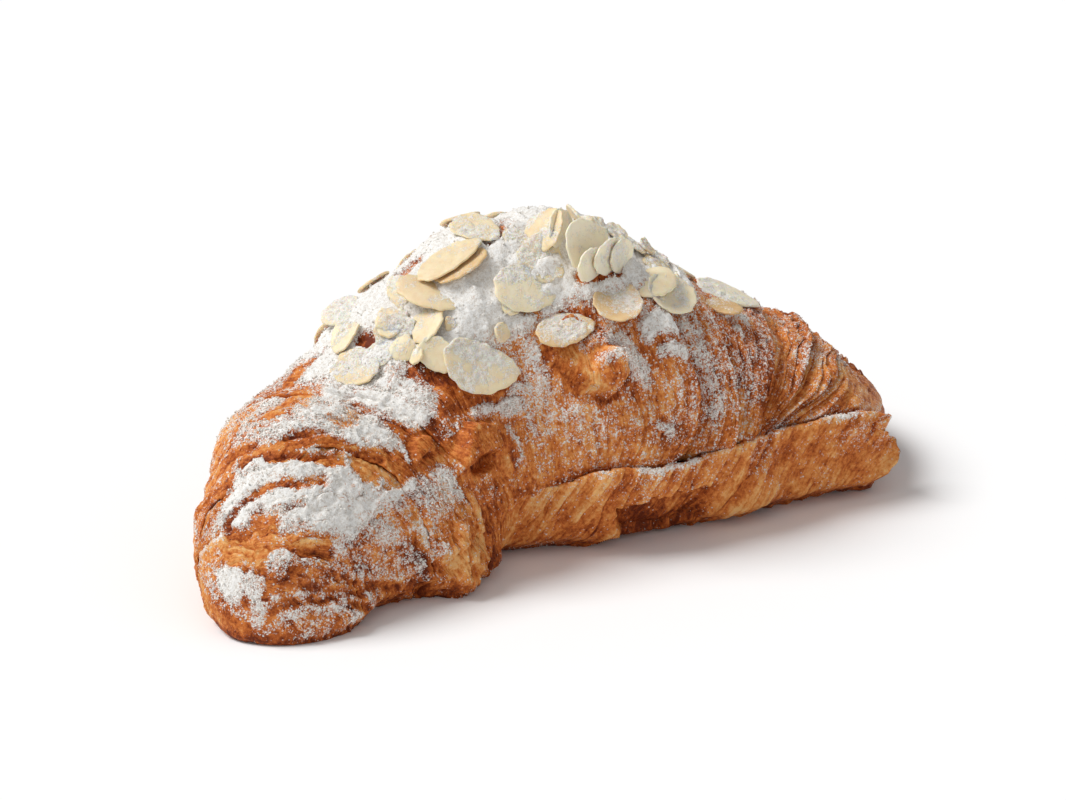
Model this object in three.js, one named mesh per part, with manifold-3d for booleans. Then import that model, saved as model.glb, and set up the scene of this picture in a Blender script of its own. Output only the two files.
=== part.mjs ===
// Almond croissant: a roll of layered pastry, slit along its front side, with flaked almonds baked onto its top.
// One fused solid in millimetres, +Z up, lying on its flat base. The slit faces -Y, the drooping end is at -X.

import * as THREE from 'three';
import { ParametricGeometry } from 'three/addons/geometries/ParametricGeometry.js';
import { mergeVertices } from 'three/addons/utils/BufferGeometryUtils.js';
import Module from 'manifold-3d';

const { clamp, degToRad, smoothstep } = THREE.MathUtils;

// Roll: its length, and how far each end swings forward off the straight middle line
const rollLength = 168;
const bend = { left: 35, leftPower: 2.55, right: 10.2, rightPower: 2 };

// Cross-sections from the drooping end (-1) to the blunt end (1): along, half width, height, level of the slit
const sections = [
  [-1.00, 19.4, 28.9, 1.8],
  [-0.80, 20.8, 38.5, 8.1],
  [-0.55, 28.5, 42.4, 12.6],
  [-0.25, 26.5, 63.6, 14.9],
  [0.05, 33.0, 68.0, 17.6],
  [0.35, 34.8, 57.0, 18.5],
  [0.65, 31.0, 39.2, 19.0],
  [0.88, 28.3, 30.0, 18.0],
  [1.00, 24.0, 19.5, 13.5],
];

// Power of the section's superellipse above the slit, below it in front, and below it at the back
const roundness = { above: 2.13, below: 4, belowBack: 3 };
const baseSink = 2.7; // depth of the round section that the flat base cuts away
const ridgeShift = 2.7; // the ridge lies this far behind the middle line

// Tips: share of the half length that rounds off, the power of that rounding, and how far the blunt end domes out
const tips = { leftShare: 0.34, leftPower: 2.5, rightShare: 0.05, rightPower: 2, rightBulge: 7 };
const tipFade = 0.9; // relief grows to its full height where the section has this share of its full size

// The lip below the slit runs past the blunt end
const lipEnd = { reach: 3.5, from: 0.85, riseFrom: -0.1, riseTo: 0.2 };

// Rolled layers on each half, as shares of the half length: where a layer's edge meets the slit level
// on the front, where it crosses the ridge, and the height of its step
const rightLayers = [
  [0.20, 0.25, 1.6],
  [0.37, 0.52, 1.9],
  [0.44, 0.77, 2.4],
  [0.53, 0.90, 2.4],
  [0.64, 0.98, 1.6],
];
const leftLayers = [
  [0.12, 0.36, 2.0],
  [0.36, 0.645, 3.6],
  [0.65, 0.83, 2.4],
  [0.86, 0.945, 1.8],
];
const edgeWidth = 3.2; // a step's slope, measured along the roll
const narrowestLayer = 0.02;
const lean = { below: 0.4, behind: 0.35 }; // how much edges go on leaning under the slit and behind the ridge

// Slit along the front, with a lip standing out below it; it fades out towards the drooping end
const slit = { depth: 4.5, halfWidth: 2.9, lip: 1.5, lipDrop: 5, fadeFrom: -0.5, fadeTo: 0.1 };

// Local swellings (positive) and hollows: along, its spread, angle around, its spread in degrees, height
const swellings = [
  [0.03, 0.07, 42, 7, 2.9],
  [-0.43, 0.07, 28, 9, 1.4],
  [-0.42, 0.035, 25, 5, -2.7],
  [-0.35, 0.05, -22, 10, 2.0],
  [0.23, 0.14, -19, 8, -3.2],
  [-0.70, 0.07, 138, 20, 3.0],
  [-0.01, 0.05, 96, 16, -2.0],
  [-0.27, 0.06, 100, 16, -2.0],
  [-0.42, 0.05, 104, 14, 1.0],
  [-0.55, 0.09, -28, 30, 7.0],
  [-0.40, 0.06, -25, 20, 3.0],
  [-0.93, 0.09, -30, 32, 5.0],
  [-0.86, 0.10, 150, 30, 1.6],
];

// Long waves of hand-rolled dough: height, waves along, waves around, phase
const broadWave = { height: 0.55, first: [9, 2, 0.4], second: [5, -3, 1.9] };
const shortWave = { height: 0.35, first: [17, 5, 0] };

// Almond flakes as they lie: along, angle around, turn of the long axis, tilt about it, its pitch, length, width
const flakes = [
  [-0.135, 88, -81, -7, -4, 13.5, 9.5], [-0.245, 84, -4, -11, -2, 16, 9.5], [-0.23, 80, 16, -24, -8, 14, 9.5],
  [-0.33, 80, -79, -32, -10, 16.5, 9], [-0.375, 75, 54, -10, -19, 10.5, 8], [-0.43, 80, -76, 17, -11, 12, 9],
  [-0.525, 88, 89, 1, -4, 13, 10], [-0.42, 106, -88, -4, -21, 13.5, 9], [-0.40, 65, -86, 16, -12, 9, 7],
  [-0.31, 55, -36, -7, -2, 17, 12], [-0.105, 67, -34, -4, -9, 14, 11.5], [-0.03, 72, -88, 3, -9, 12.5, 10],
  [-0.03, 54, -13, -29, -4, 13, 9], [0.01, 79, 89, -42, -12, 11, 10.5], [0.05, 77, 20, 56, -24, 10.5, 8.5],
  [0.085, 71, 21, 45, -5, 14, 10.5], [0.085, 66, 18, 50, -25, 10.5, 8], [0.135, 67, 14, 52, -22, 11, 9],
  [0.18, 68, 11, 56, -22, 10, 8], [0.275, 62, 37, -35, 10, 13, 9.5], [0.13, 56, 54, -22, -22, 13, 11],
  [0.31, 57, 7, 1, 6, 14, 10.5], [0.60, 80, -8, 12, 14, 18, 9.5], [0.525, 60, 88, -25, -18, 11, 7],
  [0.30, 80, 52, -3, -5, 9, 7], [0.35, 73, 46, 0, -2, 9, 7],
];
const flakeThickness = 1.2;
const flakeTaper = 0.22; // one end is this share narrower than the middle
const flakeDroop = 0.7; // the rim hangs this far below the middle
const flakeSink = 0.3;
const flakeBury = 0.3; // share of a standing flake's rise that is under the surface
const flakeSides = 12;
const flakeFootAlong = 0.02; // half the stretch of surface that a flake lies square to
const flakeFootAround = 0.08;

// More flakes behind the ridge, spread evenly by the golden ratio
const backFlakes = { count: 14, alongFrom: -0.5, alongTo: 0.55, aroundFrom: 98, aroundTo: 142, tilt: 12 };
const backFlakeLength = { least: 10.5, most: 13.5 };
const backFlakeAspect = 0.68;
const goldenShare = (Math.sqrt(5) - 1) / 2;

// Fineness of the faceted surface; columns crowd together at the slit
const stations = 96;
const columns = 40;
const slitCrowding = 0.6;
const weldDistance = 1e-3;
const leastCap = 1e-6;

const crustColour = 0xc27a3c;
const crustRoughness = 0.75;

const sectionCurve = new THREE.CubicInterpolant(
  sections.map((row) => row[0]), sections.flatMap((row) => row.slice(1)), 3);

// Quarter of a superellipse, from 0 at a tip to 1 where the rounding ends
function capShape(share, power) {
  return (1 - (1 - clamp(share, 0, 1)) ** power) ** (1 / power);
}

function bump(value, middle, spread) {
  return Math.exp(-(((value - middle) / spread) ** 2));
}

function wave([alongCount, aroundCount, phase], along, around) {
  return Math.sin(alongCount * along + aroundCount * around + phase);
}

// How far a layer's edge has leaned towards the tip: 0 at the slit level in front, 1 over the ridge
function edgeLean(around) {
  const rise = Math.sin(around);
  if (around > Math.PI / 2) return 1 + lean.behind * (1 - rise);
  return rise > 0 ? rise : lean.below * rise;
}

// Each layer swells from the edge before it to its own edge, then drops back
function layerRise(reach, around, layers) {
  const leaned = edgeLean(around);
  let rise = 0;
  let lastEdge = 0;
  for (const [front, ridge, step] of layers) {
    const edge = front + (ridge - front) * leaned;
    const share = clamp((reach - lastEdge) / Math.max(edge - lastEdge, narrowestLayer), 0, 1);
    const past = smoothstep((reach - edge) * rollLength / 2, -edgeWidth / 2, edgeWidth / 2);
    rise += step * share * (2 - share) * (1 - past);
    lastEdge = edge;
  }
  return rise;
}

function uneven(along, around) {
  const broad = wave(broadWave.first, along, around) * wave(broadWave.second, along, around);
  return broadWave.height * broad + shortWave.height * wave(shortWave.first, along, around);
}

// Height of everything that stands off the plain section: layers, waves, slit and lip, swellings
function relief(along, around, radius) {
  const layers = along < 0 ? layerRise(-along, around, leftLayers) : layerRise(along, around, rightLayers);
  const aboveSlit = around * radius;
  const slitFade = smoothstep(along, slit.fadeFrom, slit.fadeTo);
  const groove = clamp(1 - Math.abs(aboveSlit) / slit.halfWidth, 0, 1) * slit.depth;
  const lip = slit.lip * bump(aboveSlit, -slit.lipDrop, slit.lipDrop);
  let rise = layers + uneven(along, around) + slitFade * (lip - groove);
  for (const [middle, spread, angle, angleSpread, height] of swellings) {
    rise += height * bump(along, middle, spread) * bump(around, degToRad(angle), degToRad(angleSpread));
  }
  return rise;
}

// Middle line in plan: its sideways place and its direction
function middleLine(along) {
  const reach = Math.abs(along);
  const side = along < 0 ? -1 : 1;
  const [swing, power] = along < 0 ? [bend.left, bend.leftPower] : [bend.right, bend.rightPower];
  const slope = -side * swing * power * reach ** (power - 1) / (rollLength / 2);
  return { sideways: -swing * reach ** power, angle: Math.atan(slope) };
}

// Surface of the pastry: along from -1 to 1, around from -90 degrees under the base,
// 0 at the slit in front, 90 over the ridge, to 270 degrees under the base again
function surfacePoint(along, around, target = new THREE.Vector3()) {
  const [fullHalfWidth, height, level] = sectionCurve.evaluate(along);
  const leftCap = capShape((1 + along) / tips.leftShare, tips.leftPower);
  const rightCap = capShape((1 - along) / tips.rightShare, tips.rightPower);
  const cap = Math.max(leftCap * rightCap, leastCap);
  const across = -Math.cos(around);
  const rise = Math.sin(around);
  const halfWidth = fullHalfWidth * cap;
  const halfHeight = (rise >= 0 ? height - level : level + baseSink) * cap;
  const powerBelow = across < 0 ? roundness.below : roundness.belowBack;
  const power = rise >= 0 ? roundness.above : powerBelow;
  const radius = (Math.abs(across / halfWidth) ** power + Math.abs(rise / halfHeight) ** power) ** (-1 / power);
  const swollen = radius + relief(along, around, radius) * smoothstep(cap, 0, tipFade);
  const offset = swollen * across + ridgeShift * Math.max(rise, 0) * cap;
  const lipPart = smoothstep(along, lipEnd.from, 1) * smoothstep(-rise, lipEnd.riseFrom, lipEnd.riseTo);
  const endShift = lipEnd.reach * cap * lipPart + tips.rightBulge * (1 - rightCap ** 2);
  const { sideways, angle } = middleLine(along);
  return target.set(
    along * rollLength / 2 - offset * Math.sin(angle) + endShift,
    sideways + offset * Math.cos(angle),
    Math.max(level + swollen * rise, 0));
}

// Stations crowd towards both tips, columns towards the slit
function pastryGeometry() {
  return new ParametricGeometry((u, v, target) => {
    const along = Math.sin((2 * u - 1) * Math.PI / 2);
    const turn = (2 * v - 1) * Math.PI;
    const around = turn - slitCrowding * Math.sin(turn);
    surfacePoint(along, around < -Math.PI / 2 ? around + 2 * Math.PI : around, target);
  }, stations, columns);
}

// Thin oval plate, narrower at one end, drooping at its rim; X along it, Z out of its face
function flakeGeometry(length, width) {
  const plate = new THREE.CylinderGeometry(1, 1, flakeThickness, flakeSides);
  plate.rotateX(Math.PI / 2);
  const corners = plate.attributes.position;
  for (let i = 0; i < corners.count; i++) {
    const x = corners.getX(i);
    const y = corners.getY(i);
    const droop = flakeDroop * (x * x + y * y);
    const narrowed = width * (1 - flakeTaper * x);
    corners.setXYZ(i, x * length / 2, y * narrowed / 2, corners.getZ(i) - droop);
  }
  return plate;
}

// Lays a flake on the pastry: turned in the surface, its long axis pitched, then tilted about it with its low edge sunk
function placedFlake([along, aroundDegrees, turnDegrees, tiltDegrees, pitchDegrees, length, width]) {
  const around = degToRad(aroundDegrees);
  const tilt = degToRad(tiltDegrees);
  const pitch = degToRad(pitchDegrees);
  const alongWay = surfacePoint(along + flakeFootAlong, around)
    .sub(surfacePoint(along - flakeFootAlong, around)).normalize();
  const aroundWay = surfacePoint(along, around + flakeFootAround)
    .sub(surfacePoint(along, around - flakeFootAround)).normalize();
  const outward = alongWay.clone().cross(aroundWay).normalize();
  const across = outward.clone().cross(alongWay);
  const standing = Math.max(Math.sin(Math.abs(tilt)) * width, Math.sin(Math.abs(pitch)) * length) / 2;
  const lift = standing * (1 - flakeBury) + flakeDroop - flakeSink;
  const foot = surfacePoint(along, around).addScaledVector(outward, lift);
  const frame = new THREE.Matrix4().makeBasis(alongWay, across, outward).setPosition(foot);
  frame.multiply(new THREE.Matrix4().makeRotationZ(degToRad(turnDegrees)));
  frame.multiply(new THREE.Matrix4().makeRotationY(-pitch));
  frame.multiply(new THREE.Matrix4().makeRotationX(tilt));
  return flakeGeometry(length, width).applyMatrix4(frame);
}

function backFlakeRows() {
  const { count, alongFrom, alongTo, aroundFrom, aroundTo, tilt } = backFlakes;
  const { least, most } = backFlakeLength;
  return Array.from({ length: count }, (_, i) => {
    const share = (i * goldenShare) % 1;
    const along = alongFrom + (alongTo - alongFrom) * (i + 0.5) / count;
    const around = aroundFrom + (aroundTo - aroundFrom) * share;
    const length = least + (most - least) * share;
    return [along, around, 180 * share, tilt * share, 0, length, backFlakeAspect * length];
  });
}

const wasm = await Module();
wasm.setup();

// Closed solid from a geometry, its shared corners merged and its collapsed triangles dropped
function solidFrom(geometry) {
  geometry.deleteAttribute('normal');
  geometry.deleteAttribute('uv');
  const merged = mergeVertices(geometry, weldDistance);
  const triVerts = [];
  for (let i = 0; i < merged.index.count; i += 3) {
    const [a, b, c] = [0, 1, 2].map((k) => merged.index.getX(i + k));
    if (a !== b && b !== c && c !== a) triVerts.push(a, b, c);
  }
  const vertProperties = merged.attributes.position.array;
  return new wasm.Manifold(new wasm.Mesh({ numProp: 3, vertProperties, triVerts: new Uint32Array(triVerts) }));
}

// The pastry with every flake joined to it; loose scraps and sealed hollows are dropped
function fusedGeometry() {
  const rows = [...flakes, ...backFlakeRows()];
  const joined = rows.reduce((whole, row) => whole.add(solidFrom(placedFlake(row))), solidFrom(pastryGeometry()));
  const [largest] = joined.decompose().sort((a, b) => b.volume() - a.volume());
  const mesh = largest.getMesh();
  const geometry = new THREE.BufferGeometry();
  geometry.setAttribute('position', new THREE.BufferAttribute(mesh.vertProperties, 3));
  geometry.setIndex(new THREE.BufferAttribute(mesh.triVerts, 1));
  geometry.computeVertexNormals();
  return geometry;
}

// The chord between the tips is laid along X, and the middle of the plan over the origin
const crust = new THREE.MeshStandardMaterial({ color: crustColour, roughness: crustRoughness, metalness: 0 });
const croissant = new THREE.Mesh(fusedGeometry(), crust);
croissant.name = 'croissant';
croissant.rotation.z = -Math.atan2(bend.left - bend.right, rollLength);
croissant.updateMatrixWorld();
const plan = new THREE.Box3().setFromObject(croissant, true).getCenter(new THREE.Vector3());
croissant.position.set(-plan.x, -plan.y, 0);

const almondCroissant = new THREE.Group();
almondCroissant.add(croissant);

export default almondCroissant;
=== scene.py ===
# Almond croissant on a pale floor: layered pastry, almond flakes, powdered sugar, light and camera
import math

import bpy
import numpy as np
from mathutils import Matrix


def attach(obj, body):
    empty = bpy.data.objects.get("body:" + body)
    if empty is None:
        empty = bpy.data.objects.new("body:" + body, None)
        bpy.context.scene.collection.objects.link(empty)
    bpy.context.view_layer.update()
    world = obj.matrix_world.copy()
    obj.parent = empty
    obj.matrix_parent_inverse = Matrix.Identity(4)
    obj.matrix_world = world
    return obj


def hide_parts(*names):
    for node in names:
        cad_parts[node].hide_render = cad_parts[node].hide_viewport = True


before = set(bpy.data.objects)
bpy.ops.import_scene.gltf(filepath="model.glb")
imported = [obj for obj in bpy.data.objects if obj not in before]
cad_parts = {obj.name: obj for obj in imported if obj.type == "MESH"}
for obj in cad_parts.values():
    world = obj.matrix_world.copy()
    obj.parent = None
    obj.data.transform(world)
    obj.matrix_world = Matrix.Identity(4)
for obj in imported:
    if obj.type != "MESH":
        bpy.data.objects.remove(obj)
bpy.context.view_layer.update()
mm = 0.001


# Number helpers, all on whole arrays

def smooth(x, low, high):  # 0 below low, 1 above high, an S between
    t = np.clip((x - low) / (high - low), 0, 1)
    return t * t * (3 - 2 * t)


def bump(x, middle, spread):  # bell of height 1 at middle
    return np.exp(-((x - middle) / spread) ** 2)


def window(x, low, high, soft):  # 1 between low and high, with soft ends
    return smooth(x, low - soft, low + soft) * (1 - smooth(x, high - soft, high + soft))


def throughPoints(knots, values, x):  # cubic through the knots, slopes taken from the neighbours
    slope = np.gradient(values, knots)
    slope[1:-1] = (values[2:] - values[:-2]) / (knots[2:] - knots[:-2])
    i = np.clip(np.searchsorted(knots, x, side="right") - 1, 0, len(knots) - 2)
    span = knots[i + 1] - knots[i]
    t = (x - knots[i]) / span
    ease = t * t * (3 - 2 * t)
    start = span * slope[i] * t * (1 - t) ** 2
    stop = span * slope[i + 1] * t * t * (t - 1)
    return values[i] * (1 - ease) + values[i + 1] * ease + start + stop


hashMix = (73856093, 19349663, 83492791, 1274126177, 2654435761)


def latticeValue(cell, seed):  # a fixed value from -1 to 1 for each lattice corner, by integer mixing
    x, y, z = (cell[..., k].astype(np.uint32) * np.uint32(hashMix[k]) for k in range(3))
    mixed = x ^ y ^ z ^ np.uint32(seed * hashMix[4] % 2 ** 32)
    mixed = (mixed ^ (mixed >> np.uint32(13))) * np.uint32(hashMix[3])
    mixed = mixed ^ (mixed >> np.uint32(16))
    return mixed.astype(float) / 2 ** 31 - 1


def noise(points, seed):  # lattice values eased between the eight corners of each cell
    cell = np.floor(points).astype(np.int64)
    t = points - cell
    t = t ** 3 * (t * (6 * t - 15) + 10)
    total = np.zeros(points.shape[:-1])
    for corner in np.ndindex(2, 2, 2):
        weight = np.prod(np.where(corner, t, 1 - t), axis=-1)
        total += weight * latticeValue(cell + np.array(corner), seed)
    return total


def roughNoise(points, seed, octaves=3):  # noise added to itself at double frequency and half height
    return sum(noise(points * 2 ** k, seed + k) / 2 ** k for k in range(octaves))


def flatNoise(u, v, seed, octaves=2):  # the same on two coordinates
    u, v = np.broadcast_arrays(u, v)
    return roughNoise(np.stack([u, v, np.full(u.shape, 0.5)], -1), seed, octaves)


# Roll: the solid's own rule and sizes in millimetres, so that the pastry sits where the solid is
roll = {
    "length": 168.0, "shift": (-0.628, 7.180, 0.0),
    "bendLeft": 35.0, "bendLeftPower": 2.55, "bendRight": 10.2, "bendRightPower": 2.0,
    "along": np.array([-1, -0.8, -0.55, -0.25, 0.05, 0.35, 0.65, 0.88, 1]),
    "halfWidth": np.array([19.4, 20.8, 28.5, 26.5, 33, 34.8, 31, 28.3, 24]),
    "height": np.array([28.9, 38.5, 42.4, 63.6, 68, 57, 39.2, 30, 19.5]),
    "level": np.array([1.8, 8.1, 12.6, 14.9, 17.6, 18.5, 19, 18, 13.5]),  # height of the slit
    "above": 2.13, "below": 4.0, "belowBack": 3.0, "baseSink": 2.7, "ridgeShift": 2.7,
    "leftShare": 0.34, "leftPower": 2.5, "rightShare": 0.05, "rightPower": 2.0, "rightBulge": 7.0,
    "tipFade": 0.9, "lipReach": 3.5, "lipFrom": 0.85, "lipRise": (-0.1, 0.2),
    "footRound": 3.0, "footHeight": 5.0,
    "waves": ((9, 2, 0.4), (5, -3, 1.9), (17, 5, 0)),  # per half length, per radian, offset
    "broadHeight": 0.55, "fineHeight": 0.35,
    # along, spread, angle, spread of the angle, height
    "swellings": [(-0.35, 0.05, -22, 10, 2.0), (-0.70, 0.07, 138, 20, 3.0), (-0.01, 0.05, 96, 16, -2.0),
                  (-0.27, 0.06, 100, 16, -2.0), (-0.42, 0.05, 104, 14, 1.0), (-0.55, 0.09, -28, 30, 7.0),
                  (-0.40, 0.06, -25, 20, 3.0), (-0.93, 0.09, -30, 32, 5.0), (-0.86, 0.10, 150, 30, 1.6)],
}
half = roll["length"] / 2


def capShape(share, power):  # quarter of a superellipse, 0 at a tip to 1 where the rounding ends
    return (1 - (1 - np.clip(share, 0, 1)) ** power) ** (1 / power)


def placeOnRoll(along, degrees, extra):
    # superellipse section at each station, swollen by extra, square to the bent middle line
    around = np.radians(degrees)
    width = throughPoints(roll["along"], roll["halfWidth"], along)
    height = throughPoints(roll["along"], roll["height"], along)
    level = throughPoints(roll["along"], roll["level"], along)
    rightCap = capShape((1 - along) / roll["rightShare"], roll["rightPower"])
    cap = np.maximum(capShape((1 + along) / roll["leftShare"], roll["leftPower"]) * rightCap, 1e-6)
    across, rise = -np.cos(around), np.sin(around)
    tall = np.where(rise >= 0, height - level, level + roll["baseSink"]) * cap
    power = np.where(rise >= 0, roll["above"], np.where(across < 0, roll["below"], roll["belowBack"]))
    radius = (np.abs(across / (width * cap)) ** power + np.abs(rise / tall) ** power) ** (-1 / power)
    swollen = radius + extra * smooth(cap, 0, roll["tipFade"])
    z = np.maximum(level + swollen * rise, 0)
    drawnIn = 1 - roll["footRound"] / width * (1 - smooth(z, 0, roll["footHeight"]))
    offset = swollen * across * drawnIn + roll["ridgeShift"] * np.maximum(rise, 0) * cap
    lipPart = smooth(along, roll["lipFrom"], 1) * smooth(-rise, *roll["lipRise"])
    endShift = roll["lipReach"] * cap * lipPart + roll["rightBulge"] * (1 - rightCap ** 2)
    reach = np.abs(along)
    swing = np.where(along < 0, roll["bendLeft"], roll["bendRight"])
    bendPower = np.where(along < 0, roll["bendLeftPower"], roll["bendRightPower"])
    angle = np.arctan(-np.sign(along) * swing * bendPower * reach ** (bendPower - 1) / half)
    x = along * half - offset * np.sin(angle) + endShift
    y = -swing * reach ** bendPower + offset * np.cos(angle)
    return np.stack([x, y, z], -1)


def dough(along, degrees):  # long waves and swellings of hand-rolled dough
    around = np.radians(degrees)
    first, second, fine = (np.sin(a * along + b * around + c) for a, b, c in roll["waves"])
    rise = roll["broadHeight"] * (first * second) + roll["fineHeight"] * fine
    for middle, spread, angle, angleSpread, height in roll["swellings"]:
        rise = rise + height * bump(along, middle, spread) * bump(degrees, angle, angleSpread)
    return rise


# The chord between the tips lies along X
chordTurn = -math.atan2(roll["bendLeft"] - roll["bendRight"], roll["length"])
turnMatrix = np.array([[math.cos(chordTurn), -math.sin(chordTurn), 0],
                       [math.sin(chordTurn), math.cos(chordTurn), 0], [0, 0, 1]])


def toFrame(points):  # millimetres on the unturned roll to metres in the frame
    return (points @ turnMatrix.T + np.array(roll["shift"])) * mm


# Meshes from arrays

def tubeFaces(rings, columns, offsets=(0,)):
    # quads between neighbouring rings, closed round, and fans to the two pole points stored after the rings
    j = np.arange(columns)
    k = (j + 1) % columns
    low = columns * np.arange(rings - 1)[:, None]
    quads = np.stack([low + j, low + columns + j, low + columns + k, low + k], -1).reshape(-1, 4)
    pole, last = rings * columns + 0 * j, (rings - 1) * columns
    fans = np.concatenate([np.stack([pole, j, k], -1), np.stack([pole + 1, last + k, last + j], -1)])
    offsets = np.asarray(offsets).reshape(-1, 1, 1)
    return (quads + offsets).reshape(-1, 4), (fans + offsets).reshape(-1, 3)


def makePiece(name, points, faceSets, material, attributes=None, uv=None):
    # vertices, faces, point attributes and a UV map go in as whole arrays; the piece rides on the root body
    mesh = bpy.data.meshes.new(name)
    points = np.ascontiguousarray(points, dtype=np.float32).reshape(-1, 3)
    loops = np.concatenate([f.reshape(-1) for f in faceSets]).astype(np.int32)
    sizes = np.concatenate([np.full(len(f), f.shape[1]) for f in faceSets]).astype(np.int32)
    starts = np.concatenate([[0], np.cumsum(sizes)[:-1]]).astype(np.int32)
    mesh.vertices.add(len(points))
    mesh.vertices.foreach_set("co", points.ravel())
    mesh.loops.add(len(loops))
    mesh.loops.foreach_set("vertex_index", loops)
    mesh.polygons.add(len(sizes))
    mesh.polygons.foreach_set("loop_start", starts)
    mesh.polygons.foreach_set("loop_total", sizes)
    mesh.polygons.foreach_set("use_smooth", np.ones(len(sizes), dtype=bool))
    mesh.update(calc_edges=True)
    for label, values in (attributes or {}).items():
        layer = mesh.attributes.new(label, "FLOAT", "POINT")
        layer.data.foreach_set("value", np.ascontiguousarray(values, dtype=np.float32).ravel())
    if uv is not None:
        uvLayer = mesh.uv_layers.new(name="layers")
        uvLayer.data.foreach_set("uv", np.ascontiguousarray(uv[loops], dtype=np.float32).ravel())
    mesh.materials.append(material)
    piece = bpy.data.objects.new(name, mesh)
    bpy.context.scene.collection.objects.link(piece)
    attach(piece, "root")
    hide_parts("croissant")
    print(name, int((sizes - 2).sum()), "triangles")


# Shader maths as expressions

class Wire:  # an output socket whose operators add Math nodes
    def __init__(self, sheet, socket):
        self.sheet, self.socket = sheet, socket

    def math(self, operation, *others):
        values = dict(enumerate((self,) + others))
        return self.sheet.add("ShaderNodeMath", {"operation": operation}, values)

    def __add__(self, other):
        return self.math("ADD", other)

    def __sub__(self, other):
        return self.math("SUBTRACT", other)

    def __mul__(self, other):
        return self.math("MULTIPLY", other)

    def __rsub__(self, other):
        return self.sheet.add("ShaderNodeMath", {"operation": "SUBTRACT"}, {0: other, 1: self})

    __radd__ = __add__
    __rmul__ = __mul__


class Sheet:  # one material's node tree
    def __init__(self, name):
        self.material = bpy.data.materials.new(name)
        self.material.use_nodes = True
        self.tree = self.material.node_tree
        self.tree.nodes.clear()

    def add(self, kind, settings=None, sockets=None, out=0):  # settings first, then socket values or links
        node = self.tree.nodes.new(kind)
        for key, value in (settings or {}).items():
            if key == "stops":
                ramp = node.color_ramp
                while len(ramp.elements) < len(value):
                    ramp.elements.new(0.5)
                for element, (place, colour) in zip(ramp.elements, value):
                    element.position, element.color = place, (*colour, 1)
            else:
                setattr(node, key, value)
        for key, value in (sockets or {}).items():
            if isinstance(value, Wire):
                self.tree.links.new(value.socket, node.inputs[key])
            else:
                node.inputs[key].default_value = value
        return Wire(self, node.outputs[out]) if len(node.outputs) else node

    def attribute(self, name):
        return self.add("ShaderNodeAttribute", {"attribute_name": name}, out="Fac")

    def place(self):
        return self.add("ShaderNodeTexCoord", out="Object")

    def grain(self, vector, scale, detail, roughness):
        sockets = {"Vector": vector, "Scale": scale, "Detail": detail, "Roughness": roughness}
        return self.add("ShaderNodeTexNoise", {}, sockets)

    def speckle(self, vector, size, detail, roughness):  # noise about 0, size in millimetres
        return self.grain(vector, 1 / (size * mm), detail, roughness) - 0.5

    def bumped(self, height, strength, distance):  # normal from a height, distance in millimetres
        sockets = {"Height": height, "Strength": strength, "Distance": distance * mm}
        return self.add("ShaderNodeBump", {}, sockets)

    def between(self, value, low, high):  # eased from 0 at low to 1 at high
        sockets = {"Value": value, "From Min": low, "From Max": high}
        return self.add("ShaderNodeMapRange", {"interpolation_type": "SMOOTHSTEP"}, sockets)

    def mix(self, factor, first, second):  # colours
        return self.add("ShaderNodeMix", {"data_type": "RGBA"}, {0: factor, 6: first, 7: second}, out=2)

    def finish(self, sockets):
        shader = self.add("ShaderNodeBsdfPrincipled", {}, sockets)
        self.add("ShaderNodeOutputMaterial", {}, {"Surface": shader})
        return self.material


def blend(parts, shares):  # sum of the named parts, each times its share
    total, *others = (parts[key] * share for key, share in shares.items())
    for other in others:
        total = total + other
    return total


# Powdered sugar as colour, with painted shade between the grains, sizes in millimetres
frostLook = {
    "white": (0.90, 0.89, 0.865, 1), "grainShade": (0.66, 0.61, 0.545, 1), "grainShadeLimits": (-1.1, 0.7),
    # noise: size, detail, roughness; film and heap: share of fine and of dots, cover at start and full
    "fine": (0.8, 3.0, 0.7), "dots": (0.30, 1.0, 0.5), "spread": 4, "dotShare": 0.6,
    "film": (0.45, 0.50, 0.60, 0.86), "heap": (0.22, 0.10, 0.62, 1.0), "filmWhite": 0.97,
    "grainSize": 0.5, "grainChance": 1.25, "grainSoft": 0.08,
    "grainStrength": (0.25, 0.7), "grainGrowth": 0.55, "grainRim": (0.20, 0.45),
}


def grainMarks(sheet, place, cover):
    # one grain per cell, there when the cell's own random value is below the cover; each has its own strength
    look = frostLook
    cell = {"Vector": place, "Scale": 1 / (look["grainSize"] * mm), "Randomness": 1.0}
    distance = sheet.add("ShaderNodeTexVoronoi", {}, cell, "Distance")
    colour = sheet.add("ShaderNodeTexVoronoi", {}, cell, "Color")
    chance, strength = (sheet.add("ShaderNodeSeparateColor", {}, {"Color": colour}, k) for k in (0, 1))
    least, more = look["grainStrength"]
    there = sheet.between(cover * look["grainChance"] - chance, 0.0, look["grainSoft"])
    inside = 1 - sheet.between(distance - cover * look["grainGrowth"], *look["grainRim"])
    return there * (strength * more + least) * inside


def frost(sheet, place, cover):
    # how white: the largest of single grains, soft specks that close up into a film, and solid heaps
    look = frostLook
    fine, dots = (sheet.speckle(place, *look[key]) * look["spread"] for key in ("fine", "dots"))
    film, solid = (sheet.between(cover + fine * fineShare + dots * dotShare, start, full)
                   for fineShare, dotShare, start, full in (look["film"], look["heap"]))
    grains = grainMarks(sheet, place, cover)
    white = grains.math("MAXIMUM", film * look["filmWhite"]).math("MAXIMUM", solid)
    return white, solid, fine + dots * look["dotShare"]


# painted shade: the warm grey between the sugar grains stands for their shade
def sugarColourAndShade(sheet, fine):  # warm grey in the gaps between grains, nearly white on them
    return sheet.mix(sheet.between(fine, *frostLook["grainShadeLimits"]), frostLook["grainShade"], frostLook["white"])


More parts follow.
